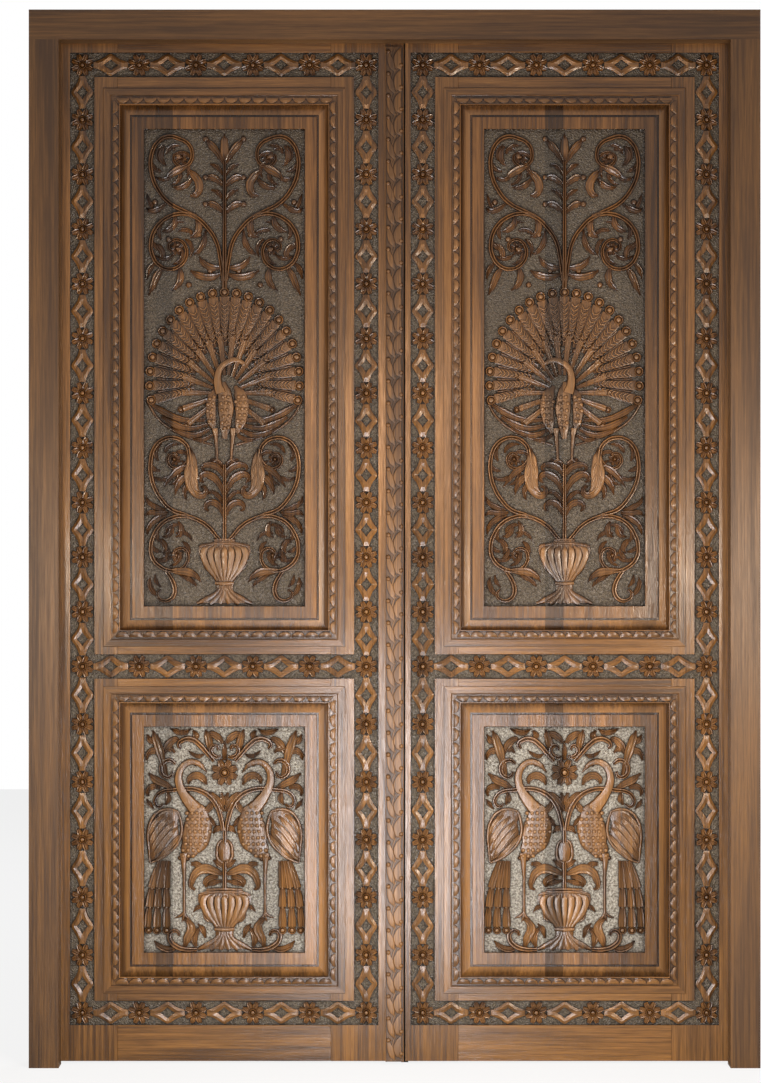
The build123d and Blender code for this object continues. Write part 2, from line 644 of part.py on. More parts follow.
upper_panel = panel(UPPER_OPENING, UPPER_DRAWING, upper_relief)
lower_panel = panel(LOWER_OPENING, LOWER_DRAWING, lower_relief)
write(mirrored(upper_panel.part), "upper_panel_left")
write(upper_panel.part, "upper_panel_right")
write(mirrored(lower_panel.part), "lower_panel_left")
write(lower_panel.part, "lower_panel_right")

# Centre strip: planted on the left leaf, it covers the middle of the pair

STRIP_TOP = CLEAR_HEIGHT - STRIP_END_GAP
with BuildPart() as strip:
    with BuildSketch(FACE):
        with Locations((0, (FLOOR_GAP + STRIP_TOP) / 2)):
            Rectangle(STRIP_WIDTH, STRIP_TOP - FLOOR_GAP)
    extrude(amount=STRIP_PROUD)
write(strip.part, "centre_strip")
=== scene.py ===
from functools import partial
from math import cos, pi, radians, sin, tanh

import bmesh
import bpy
from mathutils import Matrix, Vector


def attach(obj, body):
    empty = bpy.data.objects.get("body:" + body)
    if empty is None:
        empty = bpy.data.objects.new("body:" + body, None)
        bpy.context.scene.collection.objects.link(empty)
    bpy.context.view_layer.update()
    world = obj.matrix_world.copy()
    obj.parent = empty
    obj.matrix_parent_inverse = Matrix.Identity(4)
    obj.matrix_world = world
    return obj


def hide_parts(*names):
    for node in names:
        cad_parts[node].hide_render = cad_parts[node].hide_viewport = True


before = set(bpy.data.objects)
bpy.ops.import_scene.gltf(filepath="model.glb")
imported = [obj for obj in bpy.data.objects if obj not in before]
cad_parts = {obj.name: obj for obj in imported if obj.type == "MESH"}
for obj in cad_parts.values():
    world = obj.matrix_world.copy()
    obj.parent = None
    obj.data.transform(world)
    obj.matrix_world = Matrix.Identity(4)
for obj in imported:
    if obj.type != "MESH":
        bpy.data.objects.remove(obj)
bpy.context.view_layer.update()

# The viewer's place: straight in front of the closed doors, on a pale floor, in soft light.
# A low lamp gives the sheen on the lower middle, three more model the carving, and one lights the backs.

scene = bpy.context.scene
scene.view_settings.view_transform = "Standard"


def add_object(name, data):
    thing = bpy.data.objects.new(name, data)
    scene.collection.objects.link(thing)
    return thing


def fill(tree, made, inputs):
    """Gives a node's inputs their values, or links them to outputs or to other nodes' first outputs."""
    for name, value in inputs.items():
        if isinstance(value, bpy.types.Node):
            value = value.outputs[0]
        if isinstance(value, bpy.types.NodeSocket):
            tree.links.new(value, made.inputs[name])
        else:
            made.inputs[name].default_value = value


def add_node(tree, kind, inputs={}, **settings):
    made = tree.nodes.new("ShaderNode" + kind)
    for name, value in settings.items():
        setattr(made, name, value)
    fill(tree, made, inputs)
    return made


def worked(tree, operation, *values):
    """A number worked out from others."""
    return add_node(tree, "Math", dict(enumerate(values)), operation=operation)


def new_look(name):
    look = bpy.data.materials.new(name)
    look.use_nodes = True
    return look, look.node_tree


def mesh_of(bm, name):
    made = bpy.data.meshes.new(name)
    bm.to_mesh(made)
    bm.free()
    return made


WHITE = (1, 1, 1, 1)
view = bpy.data.cameras.new("viewer")
view.sensor_fit, view.sensor_height, view.lens = "VERTICAL", 36, 100
camera = add_object("viewer", view)
camera.location = (-0.0294, -6.322, 1.097)
camera.rotation_euler = (radians(90), 0, 0)
scene.camera = camera


def lamp(name, place, aim, size, watts, colour):
    light = bpy.data.lights.new(name, "AREA")
    light.shape, light.size, light.size_y = "RECTANGLE", size[0], size[1]
    light.energy, light.color = watts, colour
    thing = add_object(name, light)
    thing.location = place
    thing.rotation_euler = (Vector(aim) - Vector(place)).to_track_quat("-Z", "Y").to_euler()
    thing.visible_camera = False


lamp("low_lamp", (0.0, -1.45, 0.42), (0, 0, 0.7), (0.32, 0.8), 25, (0.97, 0.97, 1))
lamp("middle_lamp", (0.0, -1.9, 1.38), (0, 0, 1.2), (0.16, 0.5), 10, (1, 0.6, 0.36))
lamp("left_lamp", (-0.95, -1.6, 1.0), (0, 0, 0.9), (0.12, 0.2), 7.5, (1, 0.86, 0.7))
lamp("right_lamp", (1.05, -1.5, 1.0), (0, 0, 0.9), (0.12, 0.2), 16, (1, 0.84, 0.68))
lamp("rear_lamp", (1.5, 4.0, 3.0), (0, 0, 1.0), (1.6, 1.6), 90, (1, 1, 1))

world = bpy.data.worlds.new("surroundings")
scene.world = world
world.use_nodes = True
sky = world.node_tree
sky.nodes.clear()
ray = add_node(sky, "LightPath").outputs
seen = worked(sky, "MAXIMUM", ray["Is Camera Ray"], ray["Is Glossy Ray"])
seen = worked(sky, "MAXIMUM", seen, ray["Is Transmission Ray"])
dim = add_node(sky, "Background", {"Color": WHITE, "Strength": 0.1})
white = add_node(sky, "Background", {"Color": WHITE})
either = add_node(sky, "MixShader", {0: seen, 1: dim, 2: white})
add_node(sky, "OutputWorld", {0: either})

bm = bmesh.new()
bmesh.ops.create_grid(bm, x_segments=1, y_segments=1, size=7)
floor = add_object("floor", mesh_of(bm, "floor"))
pale_floor, tree = new_look("pale_floor")
tree.nodes.clear()
matt = add_node(tree, "BsdfDiffuse", {"Color": (0.86, 0.86, 0.85, 1)})
glow = add_node(tree, "Emission", {"Color": WHITE})
ray = add_node(tree, "LightPath").outputs
share = worked(tree, "MULTIPLY", ray["Is Camera Ray"], 0.85)
shown = add_node(tree, "MixShader", {0: share, 1: matt, 2: glow})
add_node(tree, "OutputMaterial", {0: shown})
floor.data.materials.append(pale_floor)

# A narrow dark sheet behind the gap between the leaves: a painted shadow, so that the gap looks as dark as it does in
# a building.
# It shows only where something close covers it, so that nothing hangs in the doorway when the leaves are open.
SHADOW_SHEET_SIDES = (0.0145, 0.029)
SHADOW_SHEET_LINE = ((0.012, 0.0008), (0.05, 0.0008), (0.05, 2.17))
COVER_REACH, LEAST_COVER = 0.15, 0.45
bm = bmesh.new()
foot, bend, top = [[bm.verts.new((x, y, z)) for x in SHADOW_SHEET_SIDES] for y, z in SHADOW_SHEET_LINE]
bm.faces.new(foot + bend[::-1])
bm.faces.new(bend + top[::-1])
gap_shadow_sheet = add_object("gap_shadow_sheet", mesh_of(bm, "gap_shadow_sheet"))
painted_gap_shadow, tree = new_look("painted_gap_shadow")
tree.nodes.clear()
# Painted shadow: near black where the leaves cover it, clear elsewhere and from behind.
dark = add_node(tree, "BsdfDiffuse", {"Color": (0.02, 0.018, 0.015, 1)})
clear = add_node(tree, "BsdfTransparent")
turned = add_node(tree, "NewGeometry").outputs["Backfacing"]
around = add_node(tree, "AmbientOcclusion", {"Distance": COVER_REACH}, samples=8)
bare = worked(tree, "GREATER_THAN", around.outputs["AO"], LEAST_COVER)
hidden = worked(tree, "MAXIMUM", bare, turned)
shown = add_node(tree, "MixShader", {0: hidden, 1: dark, 2: clear})
add_node(tree, "OutputMaterial", {0: shown})
gap_shadow_sheet.data.materials.append(painted_gap_shadow)

# Frame: two jambs and a head of plain dark hardwood, varnished like the leaves.
# The boards keep the shape that they have in the model, and only get their grain and varnish here.

MM = 0.001
ALONG_X = (0, radians(90), 0)
UPRIGHT = (0, 0, 0)


def new_group(name, inputs, outputs):
    group = bpy.data.node_groups.new(name, "ShaderNodeTree")
    for label, kind in inputs:
        group.interface.new_socket(label, in_out="INPUT", socket_type="NodeSocket" + kind)
    for label in outputs:
        group.interface.new_socket(label, in_out="OUTPUT", socket_type="NodeSocketFloat")
    return group, group.nodes.new("NodeGroupInput"), group.nodes.new("NodeGroupOutput")


def stretched_noise(tree, vector, scale, detail, roughness):
    mapped = add_node(tree, "Mapping", {"Vector": vector, "Scale": scale})
    settings = {"Vector": mapped, "Scale": 1.0, "Detail": detail, "Roughness": roughness}
    return add_node(tree, "TexNoise", settings).outputs["Fac"]


def spread(tree, value, low, high, start=0.0, end=1.0):
    """A value from low to high, brought to start to end and held there."""
    settings = {"Value": value, "From Min": low, "From Max": high, "To Min": start, "To Max": end}
    return add_node(tree, "MapRange", settings)


def summed(tree, value, factor, other, other_factor):
    return worked(tree, "MULTIPLY_ADD", other, other_factor, worked(tree, "MULTIPLY", value, factor))


def blended(tree, share, first, second, kind="MIX"):
    """Two colours mixed by a share."""
    inputs = {0: share, 6: first, 7: second}
    return add_node(tree, "Mix", inputs, data_type="RGBA", blend_type=kind).outputs[2]


# Grain runs along the vector's Z: broad figure, streaks and open pores
grain, start, end = new_group("grain", [("Vector", "Vector")], ["Figure", "Fibre"])
broad = stretched_noise(grain, start, (22, 22, 1.2), 3, 0.5)
streaks = stretched_noise(grain, start, (190, 190, 4.5), 5, 0.65)
figure = spread(grain, summed(grain, broad, 0.45, streaks, 0.55), 0.4, 0.61)
fibre = spread(grain, stretched_noise(grain, start, (620, 620, 22), 2, 0.6), 0.42, 0.72)
fill(grain, end, {"Figure": figure, "Fibre": fibre})

# Ground that was matted with a punch between the carved forms
punched, start, end = new_group("punched_ground", [("Vector", "Vector")], ["Height", "Tone"])
cells = add_node(punched, "TexVoronoi", {"Vector": start, "Scale": 330.0})
pits = spread(punched, cells.outputs["Distance"], 0.15, 0.75)
patches = stretched_noise(punched, start, (230, 230, 230), 3, 0.7)
fill(punched, end, {"Height": pits, "Tone": spread(punched, patches, 0.38, 0.62)})

# How near a place is to the bottom of the carving, whose depth is given
inputs = [("Vector", "Vector"), ("Bottom", "Float"), ("Reach", "Float")]
recess, start, end = new_group("recess", inputs, ["Ground", "Foot", "Ridge"])
axes = add_node(recess, "SeparateXYZ", {0: start})
above = worked(recess, "SUBTRACT", start.outputs["Bottom"], axes.outputs["Y"])
within = spread(recess, above, -0.0012, -0.0006)
# Ground marks the matted ground, and Foot the painted shade that is darkest at the bottom of the carving
for label, low, high, most in (("Ground", 0.0006, 0.0013, 1), ("Foot", 0.0006, start.outputs["Reach"], 0.7)):
    near = spread(recess, above, low, high, most, 0)
    fill(recess, end, {label: worked(recess, "MULTIPLY", near, within)})
# The raised tops, which are lightened both as wear and as a painted highlight
ridge = spread(recess, above, 0.0048, 0.0084)
below_margin = spread(recess, above, 0.0098, 0.0103, 1, 0)
fill(recess, end, {"Ridge": worked(recess, "MULTIPLY", ridge, below_margin)})

# How open a place is, for painted shade in the hollows, and how far it slopes from the board's face, for painted
# shade on slopes
hollows, start, end = new_group("hollows", [("Normal", "Vector")], ["Open", "Slope"])
around = add_node(hollows, "AmbientOcclusion", {"Distance": 0.014}, samples=6, only_local=True)
facing = add_node(hollows, "SeparateXYZ", {0: start.outputs["Normal"]})
facing = worked(hollows, "ABSOLUTE", facing.outputs["Y"])
slope = spread(hollows, facing, 0.78, 0.95, 1, 0)
fill(hollows, end, {"Open": spread(hollows, around.outputs["AO"], 0.34, 0.86), "Slope": slope})

# Tones are pairs of the light and the dark of the figure, and the painted shades multiply what is under them
FRESH = ((0.23, 0.111, 0.032, 1), (0.054, 0.025, 0.008, 1))
PLAIN = ((0.15, 0.075, 0.025, 1), (0.045, 0.021, 0.007, 1))
MATTED = ((0.095, 0.077, 0.05, 1), (0.027, 0.019, 0.011, 1))
WORN_AND_LIT = (0.3, 0.165, 0.062, 1)
PALE_MATTED = ((0.33, 0.325, 0.28, 1), (0.07, 0.058, 0.042, 1))
PORES = (0.035, 0.014, 0.006, 1)
FOOT_SHADE = (0.13, 0.1, 0.07, 1)
SLOPE_SHADE = (0.84, 0.78, 0.72, 1)
HOLLOW_SHADE = (0.14, 0.105, 0.08, 1)
MATTED_ROUGHNESS, POLISHED_ROUGHNESS = 0.34, 0.13
PORE_DEPTH, PUNCH_DEPTH = 0.00012, 0.0011


def varnished(
    name, turn, offset=0.0, tones=FRESH, bottom=None, reach=0.0045, matt=MATTED, staves=None, roughness=0.23
):
    """Dark varnished wood. Where it is carved, painted shade darkens the foot of the carving, its slopes and its
    hollows.

    bottom is the depth of its carving, and staves are edges in X with each board's tone.
    """
    look, tree = new_look(name + "_varnish")
    coordinates = add_node(tree, "TexCoord").outputs
    place = coordinates["Object"]
    start = (offset, 0, 7 * offset)
    moved = add_node(tree, "Mapping", {"Vector": place, "Rotation": turn, "Location": start})
    wood = add_node(tree, "Group", {0: moved}, node_tree=grain)
    colour = blended(tree, wood.outputs["Figure"], tones[1], tones[0])
    colour = blended(tree, spread(tree, wood.outputs["Fibre"], 0, 1, 0, 0.42), colour, PORES)
    if staves:
        axes = add_node(tree, "SeparateXYZ", {0: place})
        low, high = staves[0][0], staves[-1][0]
        ramp = add_node(tree, "ValToRGB", {0: spread(tree, axes.outputs["X"], low, high)})
        ramp.color_ramp.interpolation = "CONSTANT"
        while len(ramp.color_ramp.elements) < len(staves) - 1:
            ramp.color_ramp.elements.new(0.5)
        for element, (edge, tone) in zip(ramp.color_ramp.elements, staves):
            element.position = (edge - low) / (high - low)
            element.color = (tone, tone * 0.97, tone * 0.95, 1)
        colour = blended(tree, 1.0, colour, ramp, "MULTIPLY")
    rough = spread(tree, wood.outputs["Figure"], 0, 1, roughness + 0.05, roughness - 0.04)
    height = spread(tree, wood.outputs["Fibre"], 0, 1, 1, 0)
    depth = PORE_DEPTH
    if bottom is not None:
        deep = add_node(tree, "Group", {0: place, "Bottom": bottom, "Reach": reach}, node_tree=recess)
        # Painted shade towards the foot of the carving
        shaded = blended(tree, 1.0, colour, FOOT_SHADE, "MULTIPLY")
        colour = blended(tree, deep.outputs["Foot"], colour, shaded)
        if staves:
            # Raised tops lighter, as wear and as a painted highlight
            worn_and_lit = spread(tree, deep.outputs["Ridge"], 0, 1, 0, 0.4)
            colour = blended(tree, worn_and_lit, colour, blended(tree, 1.0, WORN_AND_LIT, ramp, "MULTIPLY"))
        if matt:
            matted = add_node(tree, "Group", {0: place}, node_tree=punched)
            ground = blended(tree, matted.outputs["Tone"], matt[1], matt[0])
            if staves:
                ground = blended(tree, 0.55, ground, ramp, "MULTIPLY")
            colour = blended(tree, deep.outputs["Ground"], colour, ground)
            rough = add_node(tree, "Mix", {0: deep.outputs["Ground"], 2: rough, 3: MATTED_ROUGHNESS})
            pits = worked(tree, "MULTIPLY", matted.outputs["Height"], deep.outputs["Ground"])
            height = summed(tree, height, 0.12, pits, 1.0)
            depth = PUNCH_DEPTH
        air = add_node(tree, "Group", {0: coordinates["Normal"]}, node_tree=hollows)
        # Painted shade on faces that slope away from the board's face
        shaded = blended(tree, 1.0, colour, SLOPE_SHADE, "MULTIPLY")
        colour = blended(tree, air.outputs["Slope"], colour, shaded)
        # Painted shade in the hollows, where little light reaches
        colour = blended(tree, air.outputs["Open"], blended(tree, 1.0, colour, HOLLOW_SHADE, "MULTIPLY"), colour)
        rough = add_node(tree, "Mix", {0: air.outputs["Slope"], 2: rough, 3: POLISHED_ROUGHNESS})
    bump = add_node(tree, "Bump", {"Height": height, "Strength": 1.0, "Distance": depth})
    fill(tree, tree.nodes["Principled BSDF"], {
        "Base Color": colour, "Roughness": rough, "Normal": bump, "Specular IOR Level": 0.38,
    })
    return look


for number, (node, turn) in enumerate(
    (("frame_jamb_left", UPRIGHT), ("frame_jamb_right", UPRIGHT), ("frame_head", ALONG_X))
):
    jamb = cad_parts[node]
    jamb.data.materials.clear()
    jamb.data.materials.append(varnished(node, turn, 0.37 * number + 0.2, tones=PLAIN, roughness=0.4))

# Stiles and rails: the boards of each leaf, with a sunk band along the middle of each face.
# Rosettes alternate with open lozenges in the band, carved from the solid, and the ground between is matted.

# Millimetres on the right leaf, which the left one mirrors. A cut starts OVER outside what it cuts.
FACE, BACK, BAND_LEVEL = -4.75, 43.25, 1.25
LEAF_LOW, LEAF_HIGH, LEAF_SIDE = 6, 2152, 709
MEETING_SIDE, STRIP_STOCK = 22.5, 41.5
PANEL_X, OPENING_EDGE = 357.5, 224
LOWER_OPENING, UPPER_OPENING = (178, 763), (906, 2019)
INNER_BAND_X, OUTER_BAND_X, HALF_BAND = 59.3, 655.7, 25.6
BAND_ROWS = (107, 834.5, 2098)
GROOVE_FRONT, GROOVE_BACK, GROOVE_REACH = 5.95, 21.55, 9
HINGE_ROWS, HALF_HINGE, HINGE_SINK, HINGE_DEPTH = (206, 1079, 1952), 50, 2.5, 30
OVER = 5
PETALS, PETAL_REACH = 8, 24
ROSETTE_PITCH, ROSETTE_ROOM, LAST_ROSETTE = 118, 23.4, 298.2
STAND_UP = Matrix.Rotation(radians(90), 4, "X")
SIDES = (("left", -1), ("right", 1))


def add_block(bm, low, high):
    size = [b - a for a, b in zip(low, high)]
    middle = [(a + b) / 2 for a, b in zip(low, high)]
    bmesh.ops.create_cube(bm, size=1, matrix=Matrix.Translation(middle) @ Matrix.Diagonal((*size, 1)))


def final_mesh(thing):
    """The mesh of an object with its modifiers or its bevel. The object goes."""
    made = bpy.data.meshes.new_from_object(thing.evaluated_get(bpy.context.evaluated_depsgraph_get()))
    bpy.data.objects.remove(thing)
    return made


def cut_from(bm, cuts):
    """The mesh of a bmesh with blocks taken out of it."""
    body = add_object("body", mesh_of(bm, "body"))
    tools = bmesh.new()
    for low, high in cuts:
        add_block(tools, low, high)
    tool = add_object("tool", mesh_of(tools, "tool"))
    change = body.modifiers.new("cut", "BOOLEAN")
    change.operation, change.solver, change.use_self, change.object = "DIFFERENCE", "EXACT", True, tool
    result = final_mesh(body)
    bpy.data.objects.remove(tool)
    return result


def eased(bm, width, least=30):
    """Takes the sharpness off the edges."""
    sharp = [edge for edge in bm.edges if edge.is_manifold and edge.calc_face_angle(0) > radians(least)]
    bmesh.ops.bevel(
        bm, geom=sharp, offset=width, offset_type="OFFSET", affect="EDGES", segments=1, profile=0.5, material=-1,
        clamp_overlap=True,
    )


def about_z(turn):
    return Matrix.Rotation(turn, 4, "Z")


def add_mesh(bm, mesh, matrix=Matrix.Identity(4)):
    placed = mesh.copy()
    placed.transform(matrix)
    bm.from_mesh(placed)
    bpy.data.meshes.remove(placed)


def carved_on(bm, mesh, x, level, z, turn=0.0):
    """Adds a flat-lying form to an upright face."""
    add_mesh(bm, mesh, Matrix.Translation((x, level, z)) @ STAND_UP @ about_z(turn))


def finish_piece(bm, node, side, look, flip):
    """Makes the piece that stands for a node, from a bmesh in millimetres on the right leaf."""
    name, body = f"carved_{node}", f"leaf_{side}"
    bmesh.ops.transform(bm, matrix=Matrix.Diagonal((MM * flip, MM, MM, 1)), verts=bm.verts[:])
    bmesh.ops.recalc_face_normals(bm, faces=bm.faces[:])
    piece = add_object(name, mesh_of(bm, name))
    piece.data.materials.append(look)
    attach(piece, body)
    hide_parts(node)


def section(side):
    """A stroke's cross-section for a half width of 1, from the places on one side up to the middle."""
    outline = side + [(-x, height) for x, height in reversed(side) if x]
    data = bpy.data.curves.new("section", "CURVE")
    data.dimensions = "2D"
    spline = data.splines.new("POLY")
    spline.points.add(len(outline) - 1)
    for point, (x, height) in zip(spline.points, outline):
        point.co = (x, height, 0, 1)
    spline.use_cyclic_u = True
    return add_object("section", data)


def both(lines, wider=1.0):
    """Strokes and their mirror images."""
    return [[(way * x, z, wider * half) for x, z, half in line] for way in (1, -1) for line in lines]


def strokes(shape, lines, smooth=4, lift=0.0, limit=9.8, crisp=38):
    """Gouge strokes that lie flat: each line is a run of places with the stroke's half width there.

    Heights level off below the limit, and edges steeper than crisp stay sharp.
    """
    data = bpy.data.curves.new("strokes", "CURVE")
    data.dimensions, data.fill_mode, data.resolution_u = "2D", "NONE", smooth
    data.bevel_mode, data.bevel_object, data.use_fill_caps = "OBJECT", shape, True
    for line in lines:
        spline = data.splines.new("BEZIER")
        spline.radius_interpolation = "EASE"
        spline.bezier_points.add(len(line) - 1)
        for point, (x, z, half) in zip(spline.bezier_points, line):
            point.co, point.radius = (x, z, 0), half
            point.handle_left_type = point.handle_right_type = "AUTO"
    made = final_mesh(add_object("strokes", data))
    for vertex in made.vertices:
        if vertex.co.z > 0:
            vertex.co.z = limit * tanh(vertex.co.z / limit)
        vertex.co.z += lift
    made.set_sharp_from_angle(angle=radians(crisp))
    return made


def spun(profile, steps):
    """A turned form, from a profile of radii and heights that ends on the axis."""
    bm = bmesh.new()
    ring = [bm.verts.new((radius, 0, height)) for radius, height in [(0, profile[0][1])] + profile]
    edges = [bm.edges.new(pair) for pair in zip(ring, ring[1:])]
    bmesh.ops.spin(
        bm, geom=ring + edges, cent=(0, 0, 0), axis=(0, 0, 1), dvec=(0, 0, 0), angle=2 * pi, steps=steps,
        use_merge=True, use_duplicate=False,
    )
    bmesh.ops.remove_doubles(bm, verts=bm.verts[:], dist=0.01)
    turned = mesh_of(bm, "spun")
    turned.shade_smooth()
    turned.set_sharp_from_angle(angle=radians(46))
    return turned


LEAF = section([(-1, -0.4), (-1, 0.66), (-0.8, 0.98), (-0.42, 0.76), (0, 1.18)])
STEM = section([(-1, -0.4), (-1, 0.7), (-0.72, 1.3), (-0.4, 1.34), (0, 0.8)])
ROUND = section([(-1, -0.4), (-1, 0.25), (-0.78, 0.72), (-0.35, 0.98)])
BODY = section([(-1, -0.2), (-1, 0.12), (-0.9, 0.3), (-0.6, 0.44), (0, 0.5)])

# A rosette: rounded petals round a ringed button, lying flat
button = spun([(8.4, -0.5), (8.4, 5.0), (7.0, 6.5), (5.6, 5.4), (5.0, 3.4), (4.5, 6.4), (3.2, 7.9), (0, 8.6)], 12)
half = 0.86 * pi * PETAL_REACH * 0.78 / PETALS
petal = [(share * PETAL_REACH, 0, width * half) for share, width in ((0.2, 0.5), (0.62, 1), (0.97, 0.72))]
petal = strokes(LEAF, [petal], 3)
bm = bmesh.new()
for k in range(PETALS):
    add_mesh(bm, petal, about_z(2 * pi * (k + 0.5) / PETALS))
add_mesh(bm, button)
rosette = mesh_of(bm, "rosette")


def bridged(bm, rings):
    """A band of faces from each ring of places to the next, and from the last to the first."""
    loops = []
    for ring in rings:
        corners = [bm.verts.new(place) for place in ring]
        loops.append([bm.edges.new(pair) for pair in zip(corners, corners[1:] + corners[:1])])
    for first, second in zip(loops, loops[1:] + loops[:1]):
        bmesh.ops.bridge_loops(bm, edges=first + second)


def lozenge(half_length):
    """An open lozenge with hollowed sides and a ridge all round its window, lying flat along X."""
    quarter = [(0, 23.4), (3.4, 22.2), (8, 19.2), (14, 14.6), (20, 11.2), (27, 8.2), (34.5, 6.2)]
    window = [(0, 11.5), (1.6, 10.3), (3.6, 8.4), (6.4, 6), (9.2, 3.8), (12, 1.8), (14.5, 0.4)]
    grow = half_length / quarter[-1][0]
    rings = []
    for share, height in ((0, -0.5), (0, 4.0), (0.45, 6.3), (1, 4.0), (1, -0.5)):
        rest = 1 - share
        arm = [(grow * (rest * a[0] + share * b[0]), rest * a[1] + share * b[1]) for a, b in zip(quarter, window)]
        turn = arm + [(x, -y) for x, y in reversed(arm)]
        turn += [(-x, -y) for x, y in arm[1:]] + [(-x, y) for x, y in reversed(arm)][:-1]
        rings.append([(x, y, height) for x, y in turn])
    bm = bmesh.new()
    bridged(bm, rings)
    diamond = mesh_of(bm, "lozenge")
    diamond.shade_smooth()
    diamond.set_sharp_from_angle(angle=radians(25))
    return diamond


def spaced(first, last):
    count = round((last - first) / ROSETTE_PITCH)
    return [first + (last - first) * k / count for k in range(count + 1)]


def between(places):
    return [(a + b) / 2 for a, b in zip(places, places[1:])]


def half_gap(places):
    return (places[1] - places[0]) / 2 - ROSETTE_ROOM


LEVEL_PLACES = spaced(PANEL_X - LAST_ROSETTE, PANEL_X + LAST_ROSETTE)
level_lozenge = lozenge(half_gap(LEVEL_PLACES))


def channel(low_x, high_x, low_z, high_z):
    return (low_x, FACE - OVER, low_z), (high_x, BAND_LEVEL, high_z)


def board(low_x, high_x, low_z, high_z, cuts):
    block = bmesh.new()
    add_block(block, (low_x, FACE, low_z), (high_x, BACK, high_z))
    bm = bmesh.new()
    bm.from_mesh(cut_from(block, cuts))
    eased(bm, 0.7)
    return bm


STILES = {
    "hanging_stile": (PANEL_X + OPENING_EDGE, LEAF_SIDE, OUTER_BAND_X, 1),
    "meeting_stile": (MEETING_SIDE, PANEL_X - OPENING_EDGE, INNER_BAND_X, -1),
}
RUNS = spaced(*BAND_ROWS[:2]), spaced(*BAND_ROWS[1:])
for number, (name, (low_x, high_x, band_x, outward)) in enumerate(STILES.items()):
    for side, way in SIDES:
        node = f"{name}_{side}"
        inner = low_x if outward > 0 else high_x
        cuts = [channel(band_x - HALF_BAND, band_x + HALF_BAND, BAND_ROWS[0] - HALF_BAND, BAND_ROWS[2] + HALF_BAND)]
        for row in BAND_ROWS:
            cuts.append(channel(*sorted((inner - outward * OVER, band_x)), row - HALF_BAND, row + HALF_BAND))
        near, far = sorted((inner - outward * OVER, inner + outward * GROOVE_REACH))
        for low, high in (LOWER_OPENING, UPPER_OPENING):
            cuts.append(((near, GROOVE_FRONT, low - GROOVE_REACH), (far, GROOVE_BACK, high + GROOVE_REACH)))
        if name == "hanging_stile":
            for z in HINGE_ROWS:
                low = (LEAF_SIDE - HINGE_SINK, BACK - HINGE_DEPTH, z - HALF_HINGE)
                cuts.append((low, (LEAF_SIDE + OVER, BACK + OVER, z + HALF_HINGE)))
        stock = STRIP_STOCK if node == "meeting_stile_left" else 0
        bm = board(low_x - stock, high_x, LEAF_LOW, LEAF_HIGH, cuts)
        for z in RUNS[0] + RUNS[1][1:]:
            carved_on(bm, rosette, band_x, BAND_LEVEL, z)
        for run in RUNS:
            diamond = lozenge(half_gap(run))
            for z in between(run):
                carved_on(bm, diamond, band_x, BAND_LEVEL, z, radians(90))
        for row in BAND_ROWS:
            carved_on(bm, level_lozenge, between(LEVEL_PLACES)[-1 if outward > 0 else 0], BAND_LEVEL, row)
        start = 0.31 * number + (0.17 if side == "left" else 0.53)
        look = varnished(node, UPRIGHT, start, bottom=BAND_LEVEL * MM)
        finish_piece(bm, node, side, look, way)

RAILS = {
    "bottom_rail": (LEAF_LOW, LOWER_OPENING[0], BAND_ROWS[0]),
    "middle_rail": (LOWER_OPENING[1], UPPER_OPENING[0], BAND_ROWS[1]),
    "top_rail": (UPPER_OPENING[1], LEAF_HIGH, BAND_ROWS[2]),
}
ENDS = (PANEL_X - OPENING_EDGE, PANEL_X + OPENING_EDGE)
for number, (name, (low, high, row)) in enumerate(RAILS.items()):
    for side, way in SIDES:
        node = f"{name}_{side}"
        cuts = [channel(ENDS[0] - OVER, ENDS[1] + OVER, row - HALF_BAND, row + HALF_BAND)]
        for edge in {"bottom_rail": (high,), "middle_rail": (low, high), "top_rail": (low,)}[name]:
            first, last = sorted((edge, edge + (GROOVE_REACH if edge == low else -GROOVE_REACH)))
            corner = (ENDS[0] - OVER, GROOVE_FRONT, first - 0.001)
            cuts.append((corner, (ENDS[1] + OVER, GROOVE_BACK, last + 0.001)))
        bm = board(*ENDS, low, high, cuts)
        for x in LEVEL_PLACES[1:-1]:
            carved_on(bm, rosette, x, BAND_LEVEL, row)
        for x in between(LEVEL_PLACES)[1:-1]:
            carved_on(bm, level_lozenge, x, BAND_LEVEL, row)
        start = 0.43 * number + (0.11 if side == "left" else 0.71)
        look = varnished(node, ALONG_X, start, bottom=BAND_LEVEL * MM)
        finish_piece(bm, node, side, look, way)

# Mouldings: four mitred lengths planted round each panel, of the same wood.
# A chain of small twisted leaves is carved in the hollow between the inner bead and the plain fillet.

MOULDING_SECTION = [
    (0, -10.7), (5.6, -10.7), (5.6, 0), (35.6, 0), (35.6, 2.4), (34.8, 3), (21.2, 3), (20.2, 3.6), (19.4, 3.2),
    (18.6, 1.6), (3.2, 1.6), (2.4, 4.6), (0.8, 4.6), (0, 3.6),
]
INSIDE, OUTSIDE = 5.6, 30
LEAF_PITCH, CHAIN_X, CHAIN_LEVEL, CHAIN_OVER = 29.0, 5.4, 1.6, 9

twisted_leaf = strokes(LEAF, [
    [(-12.5, -4.4, 1.6), (-6, 0.5, 5.2), (3, 1.4, 5.6), (11, -1.2, 3.6), (14.5, -4.4, 1.2)],
    [(-9, 5.8, 1), (0, 6.2, 2.6), (7, 4.4, 1.6)],
], 2, crisp=180)
upright_look = varnished("moulding_upright", UPRIGHT, 0.9, bottom=(FACE + 0.7) * MM, matt=None)
level_look = varnished("moulding_level", ALONG_X, 1.3, bottom=(FACE + 0.7) * MM, matt=None)

